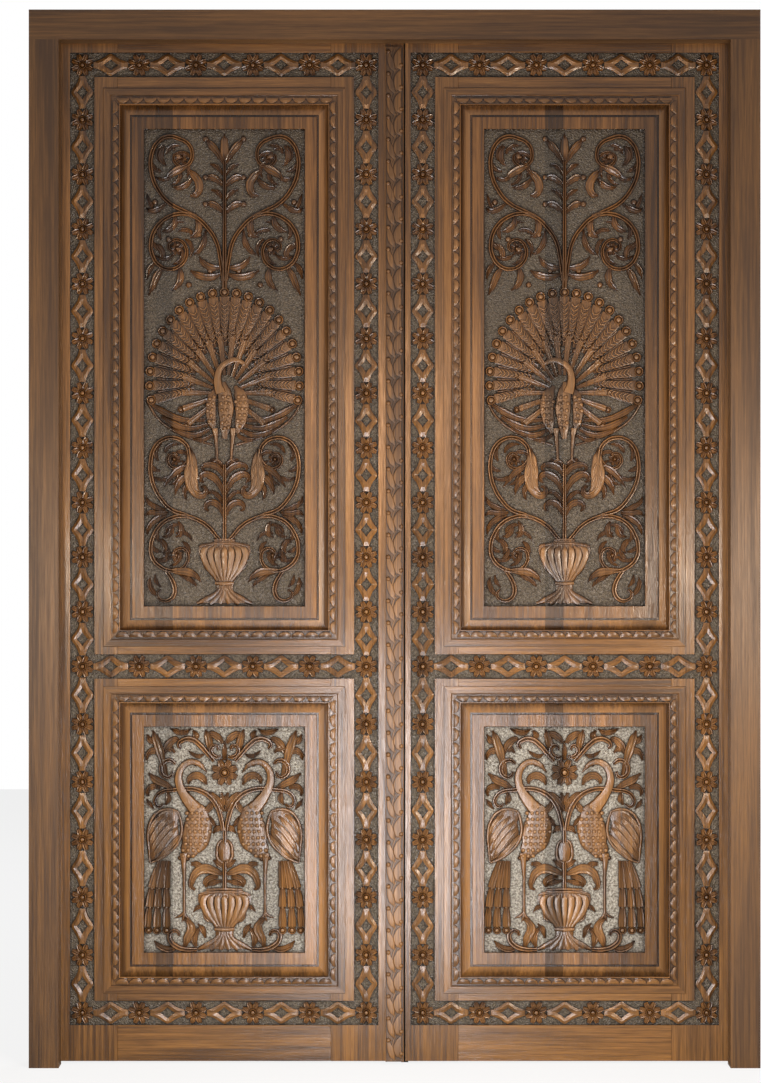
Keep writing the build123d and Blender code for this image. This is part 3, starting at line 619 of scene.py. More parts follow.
for panel, (low, high) in (("upper", UPPER_OPENING), ("lower", LOWER_OPENING)):
    middle, tall = (low + high) / 2, (high - low) / 2
    for place, turn, reach, half, look in (
        ("top", 90, tall, OPENING_EDGE, level_look), ("bottom", -90, tall, OPENING_EDGE, level_look),
        ("outer", 0, OPENING_EDGE, tall, upright_look), ("inner", 180, OPENING_EDGE, tall, upright_look),
    ):
        for side, way in SIDES:
            bm = bmesh.new()
            shortest, longest = half - INSIDE, half + OUTSIDE
            ring = [bm.verts.new((reach - INSIDE + u, -longest, proud)) for u, proud in MOULDING_SECTION]
            end = bm.faces.new(ring)
            run = bmesh.ops.extrude_face_region(bm, geom=[end], use_keep_orig=True)
            tip = [item for item in run["geom"] if isinstance(item, bmesh.types.BMVert)]
            bmesh.ops.translate(bm, vec=(0, 2 * longest, 0), verts=tip)
            for tipped in (1, -1):
                mitre = bmesh.ops.bisect_plane(
                    bm, geom=bm.verts[:] + bm.edges[:] + bm.faces[:], clear_outer=True,
                    plane_co=(reach - INSIDE, tipped * shortest, 0), plane_no=(-1, tipped, 0),
                )
                open_edges = [item for item in mitre["geom_cut"] if isinstance(item, bmesh.types.BMEdge)]
                bmesh.ops.contextual_create(bm, geom=open_edges)
            chain = shortest + CHAIN_OVER
            count = round(2 * chain / LEAF_PITCH)
            for k in range(count):
                along = Matrix.Translation((reach + CHAIN_X, 2 * chain * (k + 0.5) / count - chain, CHAIN_LEVEL))
                add_mesh(bm, twisted_leaf, along @ about_z(radians(90)))
            upright = Matrix.Translation((PANEL_X, FACE, middle)) @ STAND_UP
            bmesh.ops.transform(bm, matrix=upright @ about_z(radians(turn)), verts=bm.verts[:])
            finish_piece(bm, f"{panel}_moulding_{place}_{side}", side, look, way)

# Panels: each is glued up from upright staves of differing tone. A bevelled border runs in under the moulding,
# and inside a narrow quirk and a flat margin the field is sunk and carved in relief.

GROUND, FIELD_HALF = 9.25, 169
BORDER, MARGIN = OPENING_EDGE - FIELD_HALF, 25
MARGIN_LEVEL, PANEL_BACK = -1.75, 31.25
TONGUE_FRONT, TONGUE_BACK, TONGUE_REACH = 6.25, 21.25, 8
CORNERS = ((1, 1), (-1, 1), (-1, -1), (1, -1))
BEVEL_SECTION = ((49.4, 8.25), (49.4, 6.25), (29.5, 0.25), (29.5, 4.25), (24, 4.25), (24, 8.25))
bead = spun([(5.2, -0.5), (5.2, 2.6), (4.0, 4.6), (2.2, 5.6), (0, 6)], 8)
ringed = spun([(10.8, -0.5), (10.8, 5.2), (9.2, 7.0), (7.2, 6.2), (6.4, 4.6), (5.2, 6.6), (2.6, 7.9), (0, 8.2)], 14)
scale_feather = spun([(4.3, 4.6), (4.3, 7.0), (3.2, 8.4), (0, 9.0)], 8)
barb = strokes(ROUND, [[(-1, 0, 1.9), (4, way * 6.5, 1.9), (10, way * 9.5, 1.1)] for way in (1, -1)], 2, lift=6.6)


def panel_blank(low, high):
    """The board of a panel without its relief."""
    middle, tall = (low + high) / 2, (high - low) / 2
    field = tall - BORDER

    def block(reach, front, back):
        """Two corners of a block that reaches that far beyond the field."""
        x, z = FIELD_HALF + reach, field + reach
        return (PANEL_X - x, front, middle - z), (PANEL_X + x, back, middle + z)

    solid = bmesh.new()
    add_block(solid, *block(MARGIN, MARGIN_LEVEL, PANEL_BACK))
    add_block(solid, *block(BORDER + TONGUE_REACH, TONGUE_FRONT, TONGUE_BACK))
    bm = bmesh.new()
    bm.from_mesh(cut_from(solid, [block(0, MARGIN_LEVEL - OVER, GROUND)]))
    eased(bm, 0.6)
    bevel = bmesh.new()
    bridged(bevel, [
        [(PANEL_X + a * (FIELD_HALF + reach), level, middle + b * (field + reach)) for a, b in CORNERS]
        for reach, level in BEVEL_SECTION
    ])
    add_mesh(bm, mesh_of(bevel, "bevel"))
    return bm


def on_field(bm, low, mesh, x=0.0, z=0.0, size=1.0, turn=0.0):
    """Adds a form to a panel. Its place is measured from the middle of the field's lower edge."""
    grow = about_z(turn) @ Matrix.Diagonal((size, size, min(1, size + 0.1), 1))
    place = Matrix.Translation((PANEL_X, GROUND, low)) @ STAND_UP @ Matrix.Translation((x, z, 0))
    add_mesh(bm, mesh, place @ grow)


def paired(add, mesh, size, places):
    """Adds a form at each place and at its mirror image."""
    for x, z in places:
        add(mesh, x, z, size)
        add(mesh, -x, z, size)


def vase(add, rim_z, rim_x, top_z, top_x, base_z, base_x, foot_z, foot_x):
    """A gadrooned pot on a fluted foot, from the heights and half widths of its rim, shoulder, base and foot."""
    waist = (top_z + base_z) / 2
    add(strokes(BODY, [[
        (0, rim_z - 2, rim_x), (0, top_z + 3, 0.93 * top_x), (0, top_z - 8, top_x),
        (0, waist, 0.84 * top_x), (0, base_z + 6, 1.25 * base_x), (0, base_z, base_x),
    ]], limit=4.6))
    add(strokes(ROUND, [[
        (0.62 * share * top_x, top_z + 1, 3.4), (0.92 * share * top_x, top_z - 10, 0.14 * top_x),
        (0.8 * share * top_x, waist, 0.125 * top_x), (0.95 * share * base_x, base_z + 4, 0.15 * base_x + 1),
    ] for share in [k / 3.5 for k in range(-3, 4)]], lift=2.2, limit=6.6))
    add(strokes(ROUND, [
        [(-rim_x, rim_z, 2.6), (0, rim_z + 1.5, 3.2), (rim_x, rim_z, 2.6)],
        [(-0.98 * top_x, top_z - 1, 2.6), (-0.5 * top_x, top_z + 4.5, 3.2), (0, top_z + 6, 3.2),
         (0.5 * top_x, top_z + 4.5, 3.2), (0.98 * top_x, top_z - 1, 2.6)],
        [(-1.1 * base_x, base_z - 1, 4), (0, base_z - 2.5, 4.6), (1.1 * base_x, base_z - 1, 4)],
    ], 3, lift=2.6, limit=7))
    add(strokes(ROUND, [[
        (0.55 * k * base_x, base_z - 4, 3.6), (0.62 * k * base_x, 0.55 * base_z + 8, 4.6),
        (0.62 * k * foot_x, foot_z + 12, 6.4), (0.94 * k * foot_x, foot_z + 3, 6 if abs(k) < 1 else 3.6),
    ] for k in (-1, -0.52, -0.17, 0.17, 0.52, 1)], limit=8))
    foot = [(0, base_z, base_x), (0, 0.5 * base_z + 8, base_x), (0, foot_z + 4, 0.8 * foot_x)]
    add(strokes(BODY, [foot], limit=3.4))


SCROLLS = ((113, 130, 50), (115, 300, 50), (108, 766, 52), (112, 930, 48))
WHIRL = ((0.5, 0, 2.2), (0.66, 0.28, 4.8), (0.82, 0.62, 4.2), (0.92, 0.98, 1.2))

# Fans of the tail: middle, reach across and up, first angle, sweep and number of spaces between feathers
WIDE_FAN = (0, 472.5, 157.5, 188, -12, 204, 22)
NEAR_FAN = (-4, 448, 100, 128, -32, 244, 15)


def whirl(x, z, reach, count=7):
    """Small leaves that curl round inside a scroll."""
    lines = []
    for k in range(count):
        angle = radians(360 * k / count + 12)
        lines.append([
            (x + reach * share * cos(angle + a), z + reach * share * sin(angle + a), half) for share, a, half in WHIRL
        ])
    return lines


def angle_of(fan, k):
    return radians(fan[4] + fan[5] * k / fan[6])


def spoke(fan, k, steps):
    """Places along a spoke of a fan. Each step is a share of the spoke's length and the value there."""
    x, z, wide, tall = fan[:4]
    turn = angle_of(fan, k)
    return [(x + wide * share * cos(turn), z + tall * share * sin(turn), value) for share, value in steps]


def feathers(add, fan, vane, lift, eye, barbs):
    """Feathers on the spokes of a fan, each with barbs along it and an eye at the tip."""
    spokes = range(fan[6] + 1)
    for k in spokes:
        add(ringed, *spoke(fan, k, [(1, eye)])[0])
        for place in spoke(fan, k, barbs):
            add(barb, *place, angle_of(fan, k))
    add(strokes(LEAF, [spoke(fan, k, vane) for k in spokes], 3, lift=lift, limit=5.6))


def upper_relief(add):
    """A peacock with its fan spread over a vase, among scrolling vines."""
    # Scrolls over the vase
    add(strokes(STEM, both([
        [(9, 139, 4.2), (17, 147, 4.8), (33, 166, 5.2), (57.5, 182, 5.2), (84.7, 189.6, 5.2), (107, 187, 5.2),
         (132, 173.5, 5.2), (149, 149, 5.2), (155.4, 124, 5.2), (151.7, 101.6, 5.2), (137, 84.3, 5.2), (112, 74.4, 5),
         (92, 78, 4.7), (80, 90, 4.4), (77, 106, 4.2), (84, 119, 4), (97, 121, 3.8), (106, 112, 3.4), (102, 101, 3)],
        [(64, 187, 3.6), (89.7, 194.6, 5), (112, 203, 5.2), (132, 223, 5.2), (147, 248, 5.2), (155.4, 278, 5.2),
         (155.4, 307, 5.2), (147, 334.5, 5.2), (129.4, 350.6, 5.2), (107, 354.4, 5.2), (86, 345, 5.2), (75, 326, 5),
         (77, 307, 4.6), (89.7, 293, 4.4), (106, 290, 4.2), (118, 299, 4), (119, 314, 3.8), (108, 322, 3.4),
         (98, 316, 3)],
        [(128, 80, 4), (114, 61, 5), (106, 43, 5.6), (106, 26, 5.6), (117, 13, 5), (133, 13, 4.2), (142, 25, 3.6),
         (134, 35, 3)],
    ])))
    add(strokes(LEAF, both([
        [(120, 78, 2.4), (99, 74, 6), (77, 72, 7.4), (60, 63, 5), (49, 50, 1)],
        [(100, 70, 2), (80, 60, 5), (66, 50, 3.6), (58, 40, 1)],
        [(140, 20, 2), (152, 32, 4.6), (158, 48, 4.4), (156, 62, 1)], [(134, 40, 1.6), (144, 52, 4), (146, 66, 1.4)],
        [(97, 178, 2), (91, 164, 5.2), (93, 151, 4.6), (103, 145, 1.4)],
        [(110, 172, 2), (112, 158, 5), (120, 148, 4), (132, 146, 1.2)],
        [(140, 142, 2), (130, 134, 5), (124, 122, 5), (130, 110, 1.2)],
        [(132, 96, 2), (124, 104, 4.4), (118, 116, 3.4), (120, 124, 1)],
        [(74, 332, 4), (69, 305, 9), (70, 280, 12), (69, 258, 11), (61, 240, 8.4), (49, 233, 6.4), (40, 239, 5),
         (42, 250, 3.4), (50, 251, 2)],
        [(76, 296, 3.6), (96, 287, 6), (114, 270, 4.6), (129, 250, 1.2)],
        [(74, 278, 3.6), (90, 266, 6.4), (100, 250, 4.6), (104, 234, 1.2)],
        [(72, 262, 3), (82, 248, 5.4), (84, 234, 3.6), (80, 222, 1)],
        [(118, 197, 3), (139, 195, 5), (157, 197, 4.6), (167, 191, 1.4)],
        [(122, 192, 3), (144, 182, 5.6), (159, 166, 4.4), (163, 150, 1.2)],
        [(124, 201, 3), (146, 209, 5), (161, 220, 3.8), (165, 232, 1)],
        [(2, 190, 3), (8, 205, 4.8), (20, 217, 6), (34, 217, 5), (40, 207, 3.8), (34, 200, 2)],
        [(2, 234, 3), (10, 255, 5), (26, 273, 7), (44, 277, 5.4), (51, 267, 4), (44, 260, 2)],
        [(3, 214, 2), (14, 232, 4.4), (28, 240, 3.6), (36, 236, 1.2)],
        [(2, 272, 3), (8, 285, 5), (21, 295, 6), (37, 297, 5), (47, 291, 3), (41, 284, 1.6)],
        [(4, 290, 2), (12, 302, 4), (24, 308, 3), (32, 306, 1)],
    ], 1.2)))
    add(strokes(ROUND, both([
        [(74, 330, 1.6), (70, 305, 2.2), (70.5, 280, 2.4), (69.5, 258, 2.2), (62, 243, 2), (52, 237, 1.4)],
        [(70, 304, 1.4), (62, 291, 1.8), (60, 275, 1.2)], [(70, 282, 1.4), (62, 268, 1.8), (59, 252, 1.2)],
        [(70, 304, 1.4), (78, 289, 1.8), (79, 274, 1.2)], [(70, 278, 1.4), (77, 264, 1.8), (76, 250, 1.2)],
    ]), 3, lift=7.8))
    add(strokes(STEM, [[(0, 137, 5), (0, 180, 4.6), (0, 230, 4.4), (0, 298, 4)]]))
    vase(add, 138.8, 21.8, 126, 55, 50, 18, 2.5, 62)
    for scroll in SCROLLS:
        add(strokes(LEAF, both(whirl(*scroll)), 3))
    paired(add, rosette, 0.6, ((101, 107), (106, 309), (100, 752), (92, 944)))

    # Fan of the tail and its lower edge
    vane = ((0.4, 4.2), (0.6, 7.2), (0.8, 9.6), (0.95, 10.4))
    feathers(add, WIDE_FAN, vane, 0, 0.98, [(k / 20, 0.45 + 0.5 * k / 20) for k in range(9, 18)])
    shaft = ((0.62, 1.4), (0.78, 2.2), (0.9, 2.8))
    add(strokes(ROUND, [spoke(WIDE_FAN, k + 0.5, shaft) for k in range(WIDE_FAN[6])], 2, lift=1.5))
    vane = ((0.3, 3.4), (0.62, 5.4), (0.94, 6.6))
    feathers(add, NEAR_FAN, vane, 1.6, 0.66, [(k / 25, 0.36 + 0.3 * k / 25) for k in range(12, 22, 3)])
    add(strokes(LEAF, both([
        [(40, 392, 4), (86, 392, 6), (130, 410, 7), (152, 424, 4)],
        [(36, 382, 4), (72, 374, 6), (108, 384, 7), (132, 398, 4)],
        [(32, 372, 4), (60, 360, 6), (88, 364, 6), (112, 376, 3)], [(26, 360, 4), (46, 350, 5), (66, 352, 3)],
    ]), 3, lift=0.4))
    add(strokes(ROUND, both([[(24, 339, 2.6), (70, 353, 3), (110, 371, 3), (142, 397, 3), (163, 432, 3)]])))

    # The bird
    add(strokes(BODY, [
        [(6, 470, 9), (0, 446, 15), (-3, 416, 17), (-2, 386, 13), (0, 352, 6)],
        [(-22, 463, 4), (-33, 445, 13), (-37, 418, 15.5), (-34, 392, 13), (-26, 364, 5)],
        [(17, 459, 4), (26, 441, 10), (29, 415, 12), (27, 390, 10), (22, 368, 4)],
    ], lift=1.6, limit=5.4))
    for x, z in (
        (-40, 440), (-30, 440), (-44, 428), (-34, 428), (-24, 430), (-46, 415), (-37, 415), (-27, 416), (-42, 402),
        (-32, 402), (-38, 390), (-28, 390), (-33, 379), (22, 440), (31, 436), (24, 427), (35, 424), (26, 414),
        (36, 411), (28, 401), (24, 389), (32, 389), (-8, 440), (3, 440), (-3, 428), (7, 426), (-10, 426), (-6, 413),
        (5, 412), (-10, 400), (2, 399), (-5, 387), (5, 386), (0, 374), (-8, 376),
    ):
        add(scale_feather, x, z)
    add(strokes(ROUND, [
        [(8, 448, 12), (14, 468, 9.5), (14, 486, 8), (8, 502, 7.2), (-6, 513, 6.8), (-22, 518, 6.4), (-36, 513, 5.6),
         (-47, 504, 3), (-53, 497, 1)],
        [(-18, 374, 7), (-17, 352, 4.6), (-15, 330, 3.4), (-14, 306, 3.2)],
        [(20, 374, 7), (18, 352, 4.6), (16.5, 330, 3.4), (16, 306, 3.2)],
        [(-14, 309, 3), (-22, 303, 2.6), (-28, 300, 1)], [(-14, 309, 3), (-6, 303, 2.6), (-2, 300, 1)],
        [(16, 309, 3), (24, 303, 2.6), (30, 300, 1)], [(16, 309, 3), (8, 303, 2.6), (4, 300, 1)],
        [(-16, 522, 2), (-14, 536, 1.8), (-10, 548, 1.6)], [(-12, 520, 2), (-2, 534, 1.8), (6, 546, 1.6)],
        [(-8, 516, 2), (6, 524, 1.8), (18, 534, 1.6)],
    ], lift=2, limit=7.6))
    for x, z in ((-10, 551), (8, 549), (21, 537), (-30, 516)):
        add(bead, x, z, 0.7 if x < -20 else 0.9)

    # Vines over the fan
    add(strokes(STEM, both([
        [(3, 684, 4.6), (9, 730, 4.8), (17, 766, 5), (36, 796, 5.2), (62, 819, 5.2), (91, 826, 5.2), (122, 817, 5.2),
         (145, 795, 5.2), (155, 765, 5.2), (151, 736, 5.2), (136, 716, 5), (113, 709, 4.8), (93, 717, 4.6),
         (81, 735, 4.4), (82, 756, 4.2), (95, 770, 4), (111, 768, 3.8), (118, 755, 3.4), (110, 745, 3)],
        [(58, 820, 4), (84, 831, 5), (117, 849, 5.2), (141, 878, 5.2), (154, 913, 5.2), (154, 949, 5.2),
         (141, 976, 5.2), (121, 988, 5.2), (97, 984, 5), (76, 972, 4.8), (68, 951, 4.6), (74, 932, 4.4),
         (89, 925, 4.2), (103, 932, 4), (107, 946, 3.6), (98, 954, 3)],
    ])))
    add(strokes(STEM, [[(0, 666, 6), (0, 760, 5), (0, 860, 4.4), (0, 936, 3.6)]]))
    add(strokes(LEAF, both([
        [(2, 826, 2.4), (12, 838, 5), (26, 846, 6), (38, 846, 3)],
        [(2, 882, 2.4), (12, 894, 5), (26, 902, 6), (38, 902, 3)],
        [(2, 930, 2.4), (12, 950, 5), (26, 968, 6.4), (38, 982, 3)], [(2, 852, 2), (14, 870, 4.4), (28, 876, 2)],
        [(2, 906, 2), (16, 924, 4.4), (30, 930, 2)], [(80, 926, 4), (97, 918, 7), (112, 909, 6), (123, 897, 1.4)],
        [(78, 918, 3), (62, 904, 6.4), (53, 885, 7), (59, 867, 5.6), (72, 863, 2.4)],
        [(70, 898, 3), (82, 886, 5.4), (98, 880, 4), (110, 882, 1.2)],
        [(60, 816, 2.6), (54, 798, 6), (60, 782, 5), (72, 776, 1.6)],
        [(104, 822, 2.6), (106, 804, 5.4), (118, 792, 5), (132, 788, 1.4)],
        [(146, 762, 2.4), (136, 754, 5), (130, 740, 5), (136, 728, 1.4)],
        [(40, 790, 2), (44, 764, 5), (56, 746, 4), (66, 740, 1.2)],
        [(8, 712, 3), (26, 712, 6), (44, 722, 5), (54, 736, 1.4)],
        [(8, 698, 3), (30, 692, 6), (54, 696, 6), (72, 706, 2)],
        [(96, 712, 3), (92, 694, 6), (98, 676, 5), (112, 664, 1.4)],
        [(130, 714, 3), (142, 696, 6), (150, 676, 5.4), (160, 654, 1.2)],
        [(146, 724, 2.6), (158, 708, 5), (164, 688, 1.4)],
        [(150, 834, 1), (154, 842, 4), (160, 856, 3), (163, 868, 1)],
        [(124, 846, 2.6), (142, 834, 5), (158, 832, 4), (165, 838, 1)],
        [(126, 968, 2), (134, 950, 5), (130, 934, 4), (122, 926, 1)], [(104, 960, 1.6), (116, 962, 4), (126, 952, 1)],
    ], 1.25)))
    add(strokes(LEAF, [
        [(0, 936, 3), (0, 958, 9), (0, 978, 8), (0, 994, 1.4)], [(0, 936, 2), (-12, 946, 5), (-18, 960, 1.4)],
        [(0, 936, 2), (12, 946, 5), (18, 960, 1.4)],
    ]))
    paired(add, bead, 1.25, (
        (40, 846), (40, 902), (40, 983), (54, 782), (96, 750), (118, 772), (30, 706), (75, 676), (97, 946),
        (146, 850),
    ))


def lower_relief(add):
    """Two birds that drink from a flower, which grows from a vase between them."""
    vase(add, 131.6, 38, 121, 56, 50, 19, 3, 60)
    add(strokes(STEM, both([
        [(3, 256, 4.2), (7, 278, 4.8), (15, 304, 5), (31, 327, 5.2), (56, 341, 5), (82, 344, 4.6), (108, 341, 4.4),
         (130, 338, 4.2), (143, 328, 4), (146, 314, 3.6), (137, 306, 3.2), (128, 312, 2.6)],
        [(22, 402, 4), (36, 418, 4.8), (52, 436, 5.4), (70, 448, 5.6), (88, 446, 5), (97, 436, 4), (92, 428, 3)],
        [(58, 6, 4), (82, 6, 4.8), (103, 13, 5.4), (116, 29, 5), (112, 43, 4.2), (100, 44, 3.6), (95, 35, 2.8)],
        [(103, 396, 3), (115, 404, 4.4), (129, 398, 4.8), (134, 383, 4.6), (126, 370, 4.2), (113, 370, 3.6),
         (109, 380, 2.8)],
        [(7, 411, 3), (18, 411, 4), (28, 420, 4.2), (26, 432, 4), (15, 433, 3.4), (13, 425, 2.6)],
    ], 1.15)))
    add(strokes(STEM, [[(0, 131, 5), (0, 160, 4.6), (0, 190, 4.8)], [(0, 228, 4.6), (0, 262, 4.6)]]))
    add(strokes(LEAF, both([
        [(5, 164, 3), (20, 170, 6), (40, 176, 7.6), (58, 169, 6.6), (68, 152, 5), (70, 137, 3.6), (62, 131, 2)],
        [(14, 158, 2.4), (28, 157, 5), (40, 148, 4.4), (38, 137, 2)], [(44, 166, 2), (56, 184, 5), (70, 186, 3)],
        [(2, 296, 3), (12, 316, 5.6), (26, 330, 5), (38, 336, 1.6)],
        [(26, 322, 2), (30, 306, 5), (42, 298, 4.6), (54, 306, 1.4)],
        [(38, 352, 2), (46, 366, 5.6), (60, 372, 6), (74, 364, 4.6), (76, 354, 2)],
        [(30, 424, 3), (32, 440, 6), (36, 456, 5.4), (40, 468, 1.4)],
        [(4, 440, 3), (14, 452, 5.6), (27, 459, 5), (38, 456, 2)], [(64, 442, 2.4), (60, 456, 5), (66, 466, 2)],
        [(84, 10, 3), (78, 30, 6.4), (70, 50, 7), (76, 64, 4.6), (88, 70, 1.6)],
        [(98, 10, 3), (118, 6, 5), (136, 12, 4.6), (148, 24, 1.4)],
        [(60, 12, 3), (64, 28, 5.4), (58, 44, 4), (50, 54, 1.4)],
        [(124, 372, 4), (130, 400, 5), (137, 426, 7), (145, 450, 6), (151, 466, 1.6)],
        [(133, 416, 3), (149, 424, 5.6), (161, 416, 4), (164, 404, 1.6)],
        [(128, 418, 3), (117, 438, 6.2), (104, 448, 4.6), (94, 446, 1.6)],
        [(104, 420, 2), (116, 428, 5), (128, 422, 2)], [(140, 436, 2.4), (156, 446, 5), (163, 458, 1.4)],
        [(110, 344, 3), (126, 354, 5.4), (143, 362, 6), (160, 376, 2)],
        [(136, 346, 3), (152, 348, 5), (162, 338, 3.4), (160, 328, 1.4)],
        [(120, 336, 2.4), (118, 322, 5), (124, 310, 2)], [(8, 300, 2.4), (4, 318, 5), (7, 336, 2)],
        [(18, 264, 2), (26, 274, 4), (30, 286, 1.2)], [(2, 262, 3), (14, 260, 5), (24, 250, 1.4)],
        [(2, 176, 2.4), (12, 186, 5), (24, 194, 1.6)], [(6, 150, 2.4), (24, 146, 4.6), (40, 139, 1.4)],
        [(148, 300, 1), (158, 312, 3.6), (164, 322, 1)],
        [(70, 470, 1), (84, 462, 4.4), (100, 464, 4.4), (114, 470, 1)], [(2, 404, 2), (0, 422, 4), (0, 444, 1.2)],
        [(44, 416, 1.4), (54, 412, 3.6), (66, 416, 3), (76, 424, 1)], [(20, 60, 2), (36, 72, 5), (46, 88, 1.4)],
        [(40, 30, 2), (46, 48, 4.6), (56, 60, 1.2)], [(30, 110, 1), (40, 100, 3.6), (56, 94, 3.6), (66, 84, 1)],
    ], 1.35)))
    add(strokes(BODY, [[(0, 186, 6), (0, 196, 12), (0, 214, 14), (0, 230, 10), (0, 236, 6)]], limit=7))
    add(strokes(ROUND, both([[(4, 188, 3), (14, 196, 3.4), (16, 214, 3.4), (12, 230, 3), (5, 236, 2.4)]]), lift=2))
    add(rosette, 0, 378, 1.2)

    # The two birds
    add(strokes(BODY, both([
        [(66, 314, 11), (57, 292, 22), (56, 264, 30), (62, 238, 30), (76, 213, 19), (86, 198, 8)],
    ]), limit=6.6))
    add(strokes(BODY, both([
        [(98, 293, 10), (116, 280, 24), (127, 257, 31), (137, 232, 24), (148, 208, 12), (158, 188, 2)],
    ]), 5, lift=0.6, limit=4.6))
    add(strokes(LEAF, both([
        [(100, 262, 3), (116, 246, 6), (136, 220, 6.4), (152, 198, 2)],
        [(104, 276, 3), (122, 258, 6), (142, 232, 6), (155, 208, 2)],
        [(114, 286, 3), (132, 268, 6), (148, 244, 6), (158, 222, 2)],
        [(128, 290, 3), (143, 276, 5.4), (154, 258, 5), (160, 240, 2)],
        [(94, 246, 3), (106, 232, 5), (124, 212, 5.4), (144, 194, 2)],
    ]), lift=3.2, limit=5))
    add(strokes(ROUND, both([
        [(98, 296, 2.6), (92, 276, 3.2), (90, 254, 3.2), (98, 230, 3.2), (114, 212, 3.2), (136, 196, 2.8),
         (156, 188, 2)],
        [(98, 296, 2.6), (116, 301, 3.2), (138, 296, 3.2), (154, 278, 3.2), (161, 250, 3.2), (159, 216, 2.8),
         (157, 190, 2)],
    ]), 5, lift=3, limit=6))
    add(strokes(ROUND, both([
        [(60, 300, 15), (74, 316, 13), (88, 336, 10.5), (96, 356, 9), (96, 375, 8), (88, 391, 7.4), (74, 400, 7),
         (60, 399, 6.4), (50, 393, 5.4), (42, 384, 2.6), (37, 378, 1)],
        [(86, 208, 9), (86, 186, 5.4), (85, 160, 3.4), (85, 120, 3), (85, 82, 3.2)],
        [(85, 84, 3), (94, 76, 3), (104, 72, 1.4)], [(85, 84, 3), (80, 74, 3), (72, 70, 1.4)],
        [(85, 84, 3), (87, 72, 2.6), (90, 64, 1.2)],
    ]), lift=1, limit=7.4))
    add(strokes(LEAF, both([
        [(118, 192, 5), (121, 160, 7.4), (122, 136, 8)], [(127, 192, 5), (134, 160, 7.4), (138, 136, 8)],
        [(136, 192, 5), (147, 160, 7.4), (154, 136, 8)], [(122, 132, 6), (122, 112, 8), (122, 96, 8.4)],
        [(138, 132, 6), (140, 112, 8), (141, 96, 8.4)], [(154, 132, 6), (157, 112, 8), (159, 96, 8.4)],
        [(122, 92, 6), (122, 72, 8.4), (122, 54, 8.6)], [(141, 92, 6), (142, 72, 8.4), (142, 54, 8.6)],
        [(159, 92, 6), (161, 72, 8), (162, 54, 7.4)],
    ]), 3))
    for size, places in (
        (0.6, ((122, 134), (138, 134), (153, 134))), (0.62, ((122, 94), (140, 94), (157, 94))),
        (0.82, ((122, 46), (142, 46))), (0.72, ((160, 46),)), (0.34, ((60, 394),)), (0.5, ((86, 206),)),
        (0.45, ((78, 196), (94, 198))),
    ):
        paired(add, ringed, size, places)
    rows = (
        (306, 56, 76), (293, 42, 84), (280, 36, 80), (267, 32, 82), (254, 31, 82), (241, 34, 84), (228, 40, 86),
        (215, 50, 88), (203, 66, 92),
    )
    for row, (z, first, last) in enumerate(rows):
        x = first + 5.5 * (row % 2)
        while x < last:
            paired(add, scale_feather, 1, [(x, z)])
            x += 10.4


STAVES = {
    "left": [
        (-0.6, 1.0), (-0.545, 0.8), (-0.503, 0.42), (-0.467, 1.06), (-0.4, 0.86), (-0.345, 0.98), (-0.3, 0.7),
        (-0.24, 0.94), (-0.185, 1.1), (-0.11, 1.0),
    ],
    "right": [
        (0.11, 1.05), (0.2, 0.9), (0.255, 1.08), (0.316, 0.42), (0.354, 1.04), (0.43, 1.12), (0.475, 0.82),
        (0.5, 0.6), (0.55, 0.92), (0.6, 1.0),
    ],
}
for name, (low, high), matt, relief in (
    ("upper_panel", UPPER_OPENING, MATTED, upper_relief), ("lower_panel", LOWER_OPENING, PALE_MATTED, lower_relief),
):
    for side, way in SIDES:
        node = f"{name}_{side}"
        bm = panel_blank(low, high)
        relief(partial(on_field, bm, low + BORDER))
        look = varnished(
            node, UPRIGHT, 0.6 if side == "left" else 1.6, bottom=GROUND * MM, reach=0.008, matt=matt,
            staves=STAVES[side],
        )
        finish_piece(bm, node, side, look, way)

# Centre strip: one length planted on the edge of the left leaf, over the middle of the pair.
# A wavy vine runs up it with a half leaf at each bend, cut in low relief.

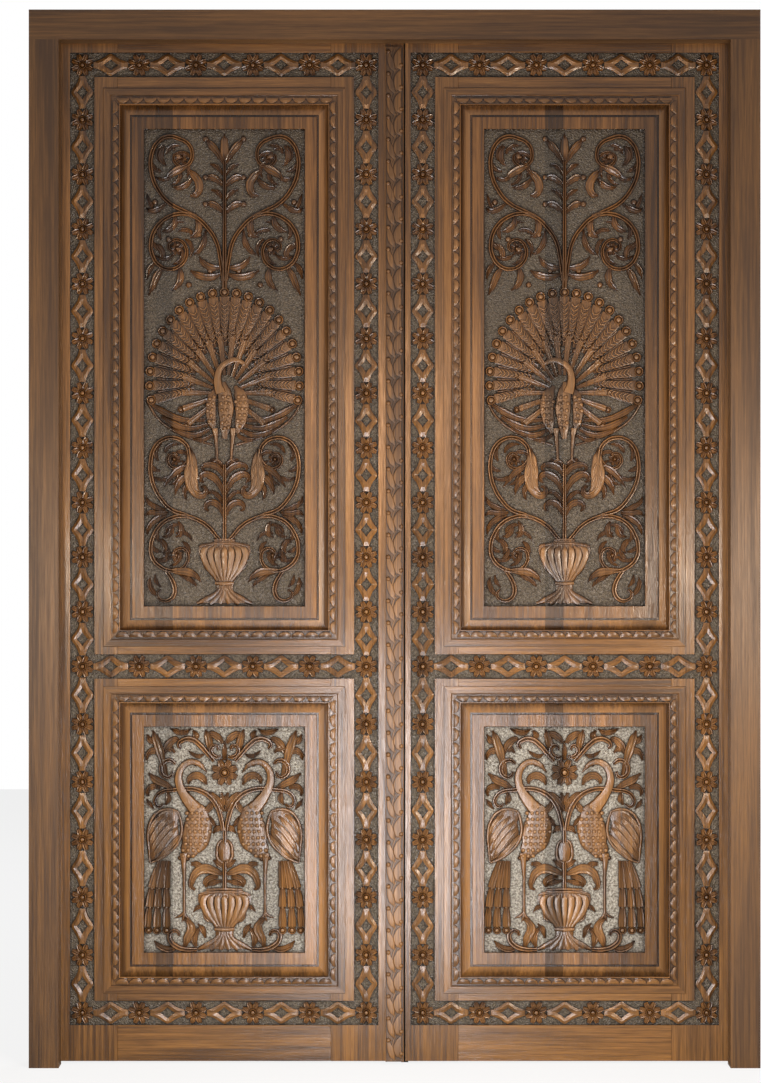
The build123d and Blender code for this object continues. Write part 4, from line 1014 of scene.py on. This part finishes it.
STRIP_LOW, STRIP_HIGH, STRIP_PITCH = 6, 2135, 45.6
STRIP_HALF, STRIP_LEVEL = 19, FACE - 8.2
RIM_INSIDE, RIM_LEVEL = 17.4, FACE - 11.4
LOWEST_BEND, ABOVE_BENDS = 30, 26
bm = bmesh.new()
add_block(bm, (-STRIP_HALF, STRIP_LEVEL, STRIP_LOW), (STRIP_HALF, FACE, STRIP_HIGH))
for low_x, high_x in ((-STRIP_HALF, -RIM_INSIDE), (RIM_INSIDE, STRIP_HALF)):
    add_block(bm, (low_x, RIM_LEVEL, STRIP_LOW), (high_x, STRIP_LEVEL + 0.1, STRIP_HIGH))
eased(bm, 0.4)
bend = strokes(LEAF, [
    [(13.5, 23, 1.6), (8.5, 13, 5.6), (6, 0, 8.6), (8.5, -13, 7.4), (14.5, -22, 2.0)],
    [(-15, 21, 1.6), (-12.5, 9, 4.2), (-9, -3, 6.6), (-5.5, -15, 6), (0, -26, 1.8)],
    [(3, 24, 1.5), (-2.6, 12, 1.9), (-3.4, 0, 2.1), (0, -12, 2.1), (5, -21, 1.6)],
], 3, limit=3.6, crisp=180)
tall = STRIP_HIGH - STRIP_LOW
count = int((tall - 8) / STRIP_PITCH)
for k in range(count):
    z = STRIP_LOW + LOWEST_BEND + k * (tall - LOWEST_BEND - ABOVE_BENDS) / (count - 1)
    carved_on(bm, bend, 0, STRIP_LEVEL, z)
    carved_on(bm, bead, 13.5, STRIP_LEVEL + 0.8, z - 13)
    carved_on(bm, bead, -13, STRIP_LEVEL + 0.8, z + 15)
look = varnished("centre_strip", UPRIGHT, 2.1, bottom=(FACE - 6.4) * MM, matt=None, roughness=0.42)
finish_piece(bm, "centre_strip", "left", look, 1)

# Hinges: lift-off hinges of plain satin steel, let into the edges of the leaves and the jambs.
# They keep the shape that they have in the model, and only get their steel here.

steel, tree = new_look("satin_steel")
place = add_node(tree, "TexCoord").outputs["Object"]
brushed = stretched_noise(tree, place, (900, 900, 40), 3, 0.6)
tone = blended(tree, brushed, (0.34, 0.33, 0.32, 1), (0.56, 0.55, 0.53, 1))
rough = spread(tree, brushed, 0.3, 0.7, 0.3, 0.46)
fill(tree, tree.nodes["Principled BSDF"], {"Base Color": tone, "Roughness": rough, "Metallic": 1.0})
for name in ("hinge_frame_halves", "hinge_leaf_halves"):
    for side, way in SIDES:
        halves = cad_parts[f"{name}_{side}"]
        halves.data.materials.clear()
        halves.data.materials.append(steel)

for shape in (LEAF, STEM, ROUND, BODY):
    bpy.data.objects.remove(shape)
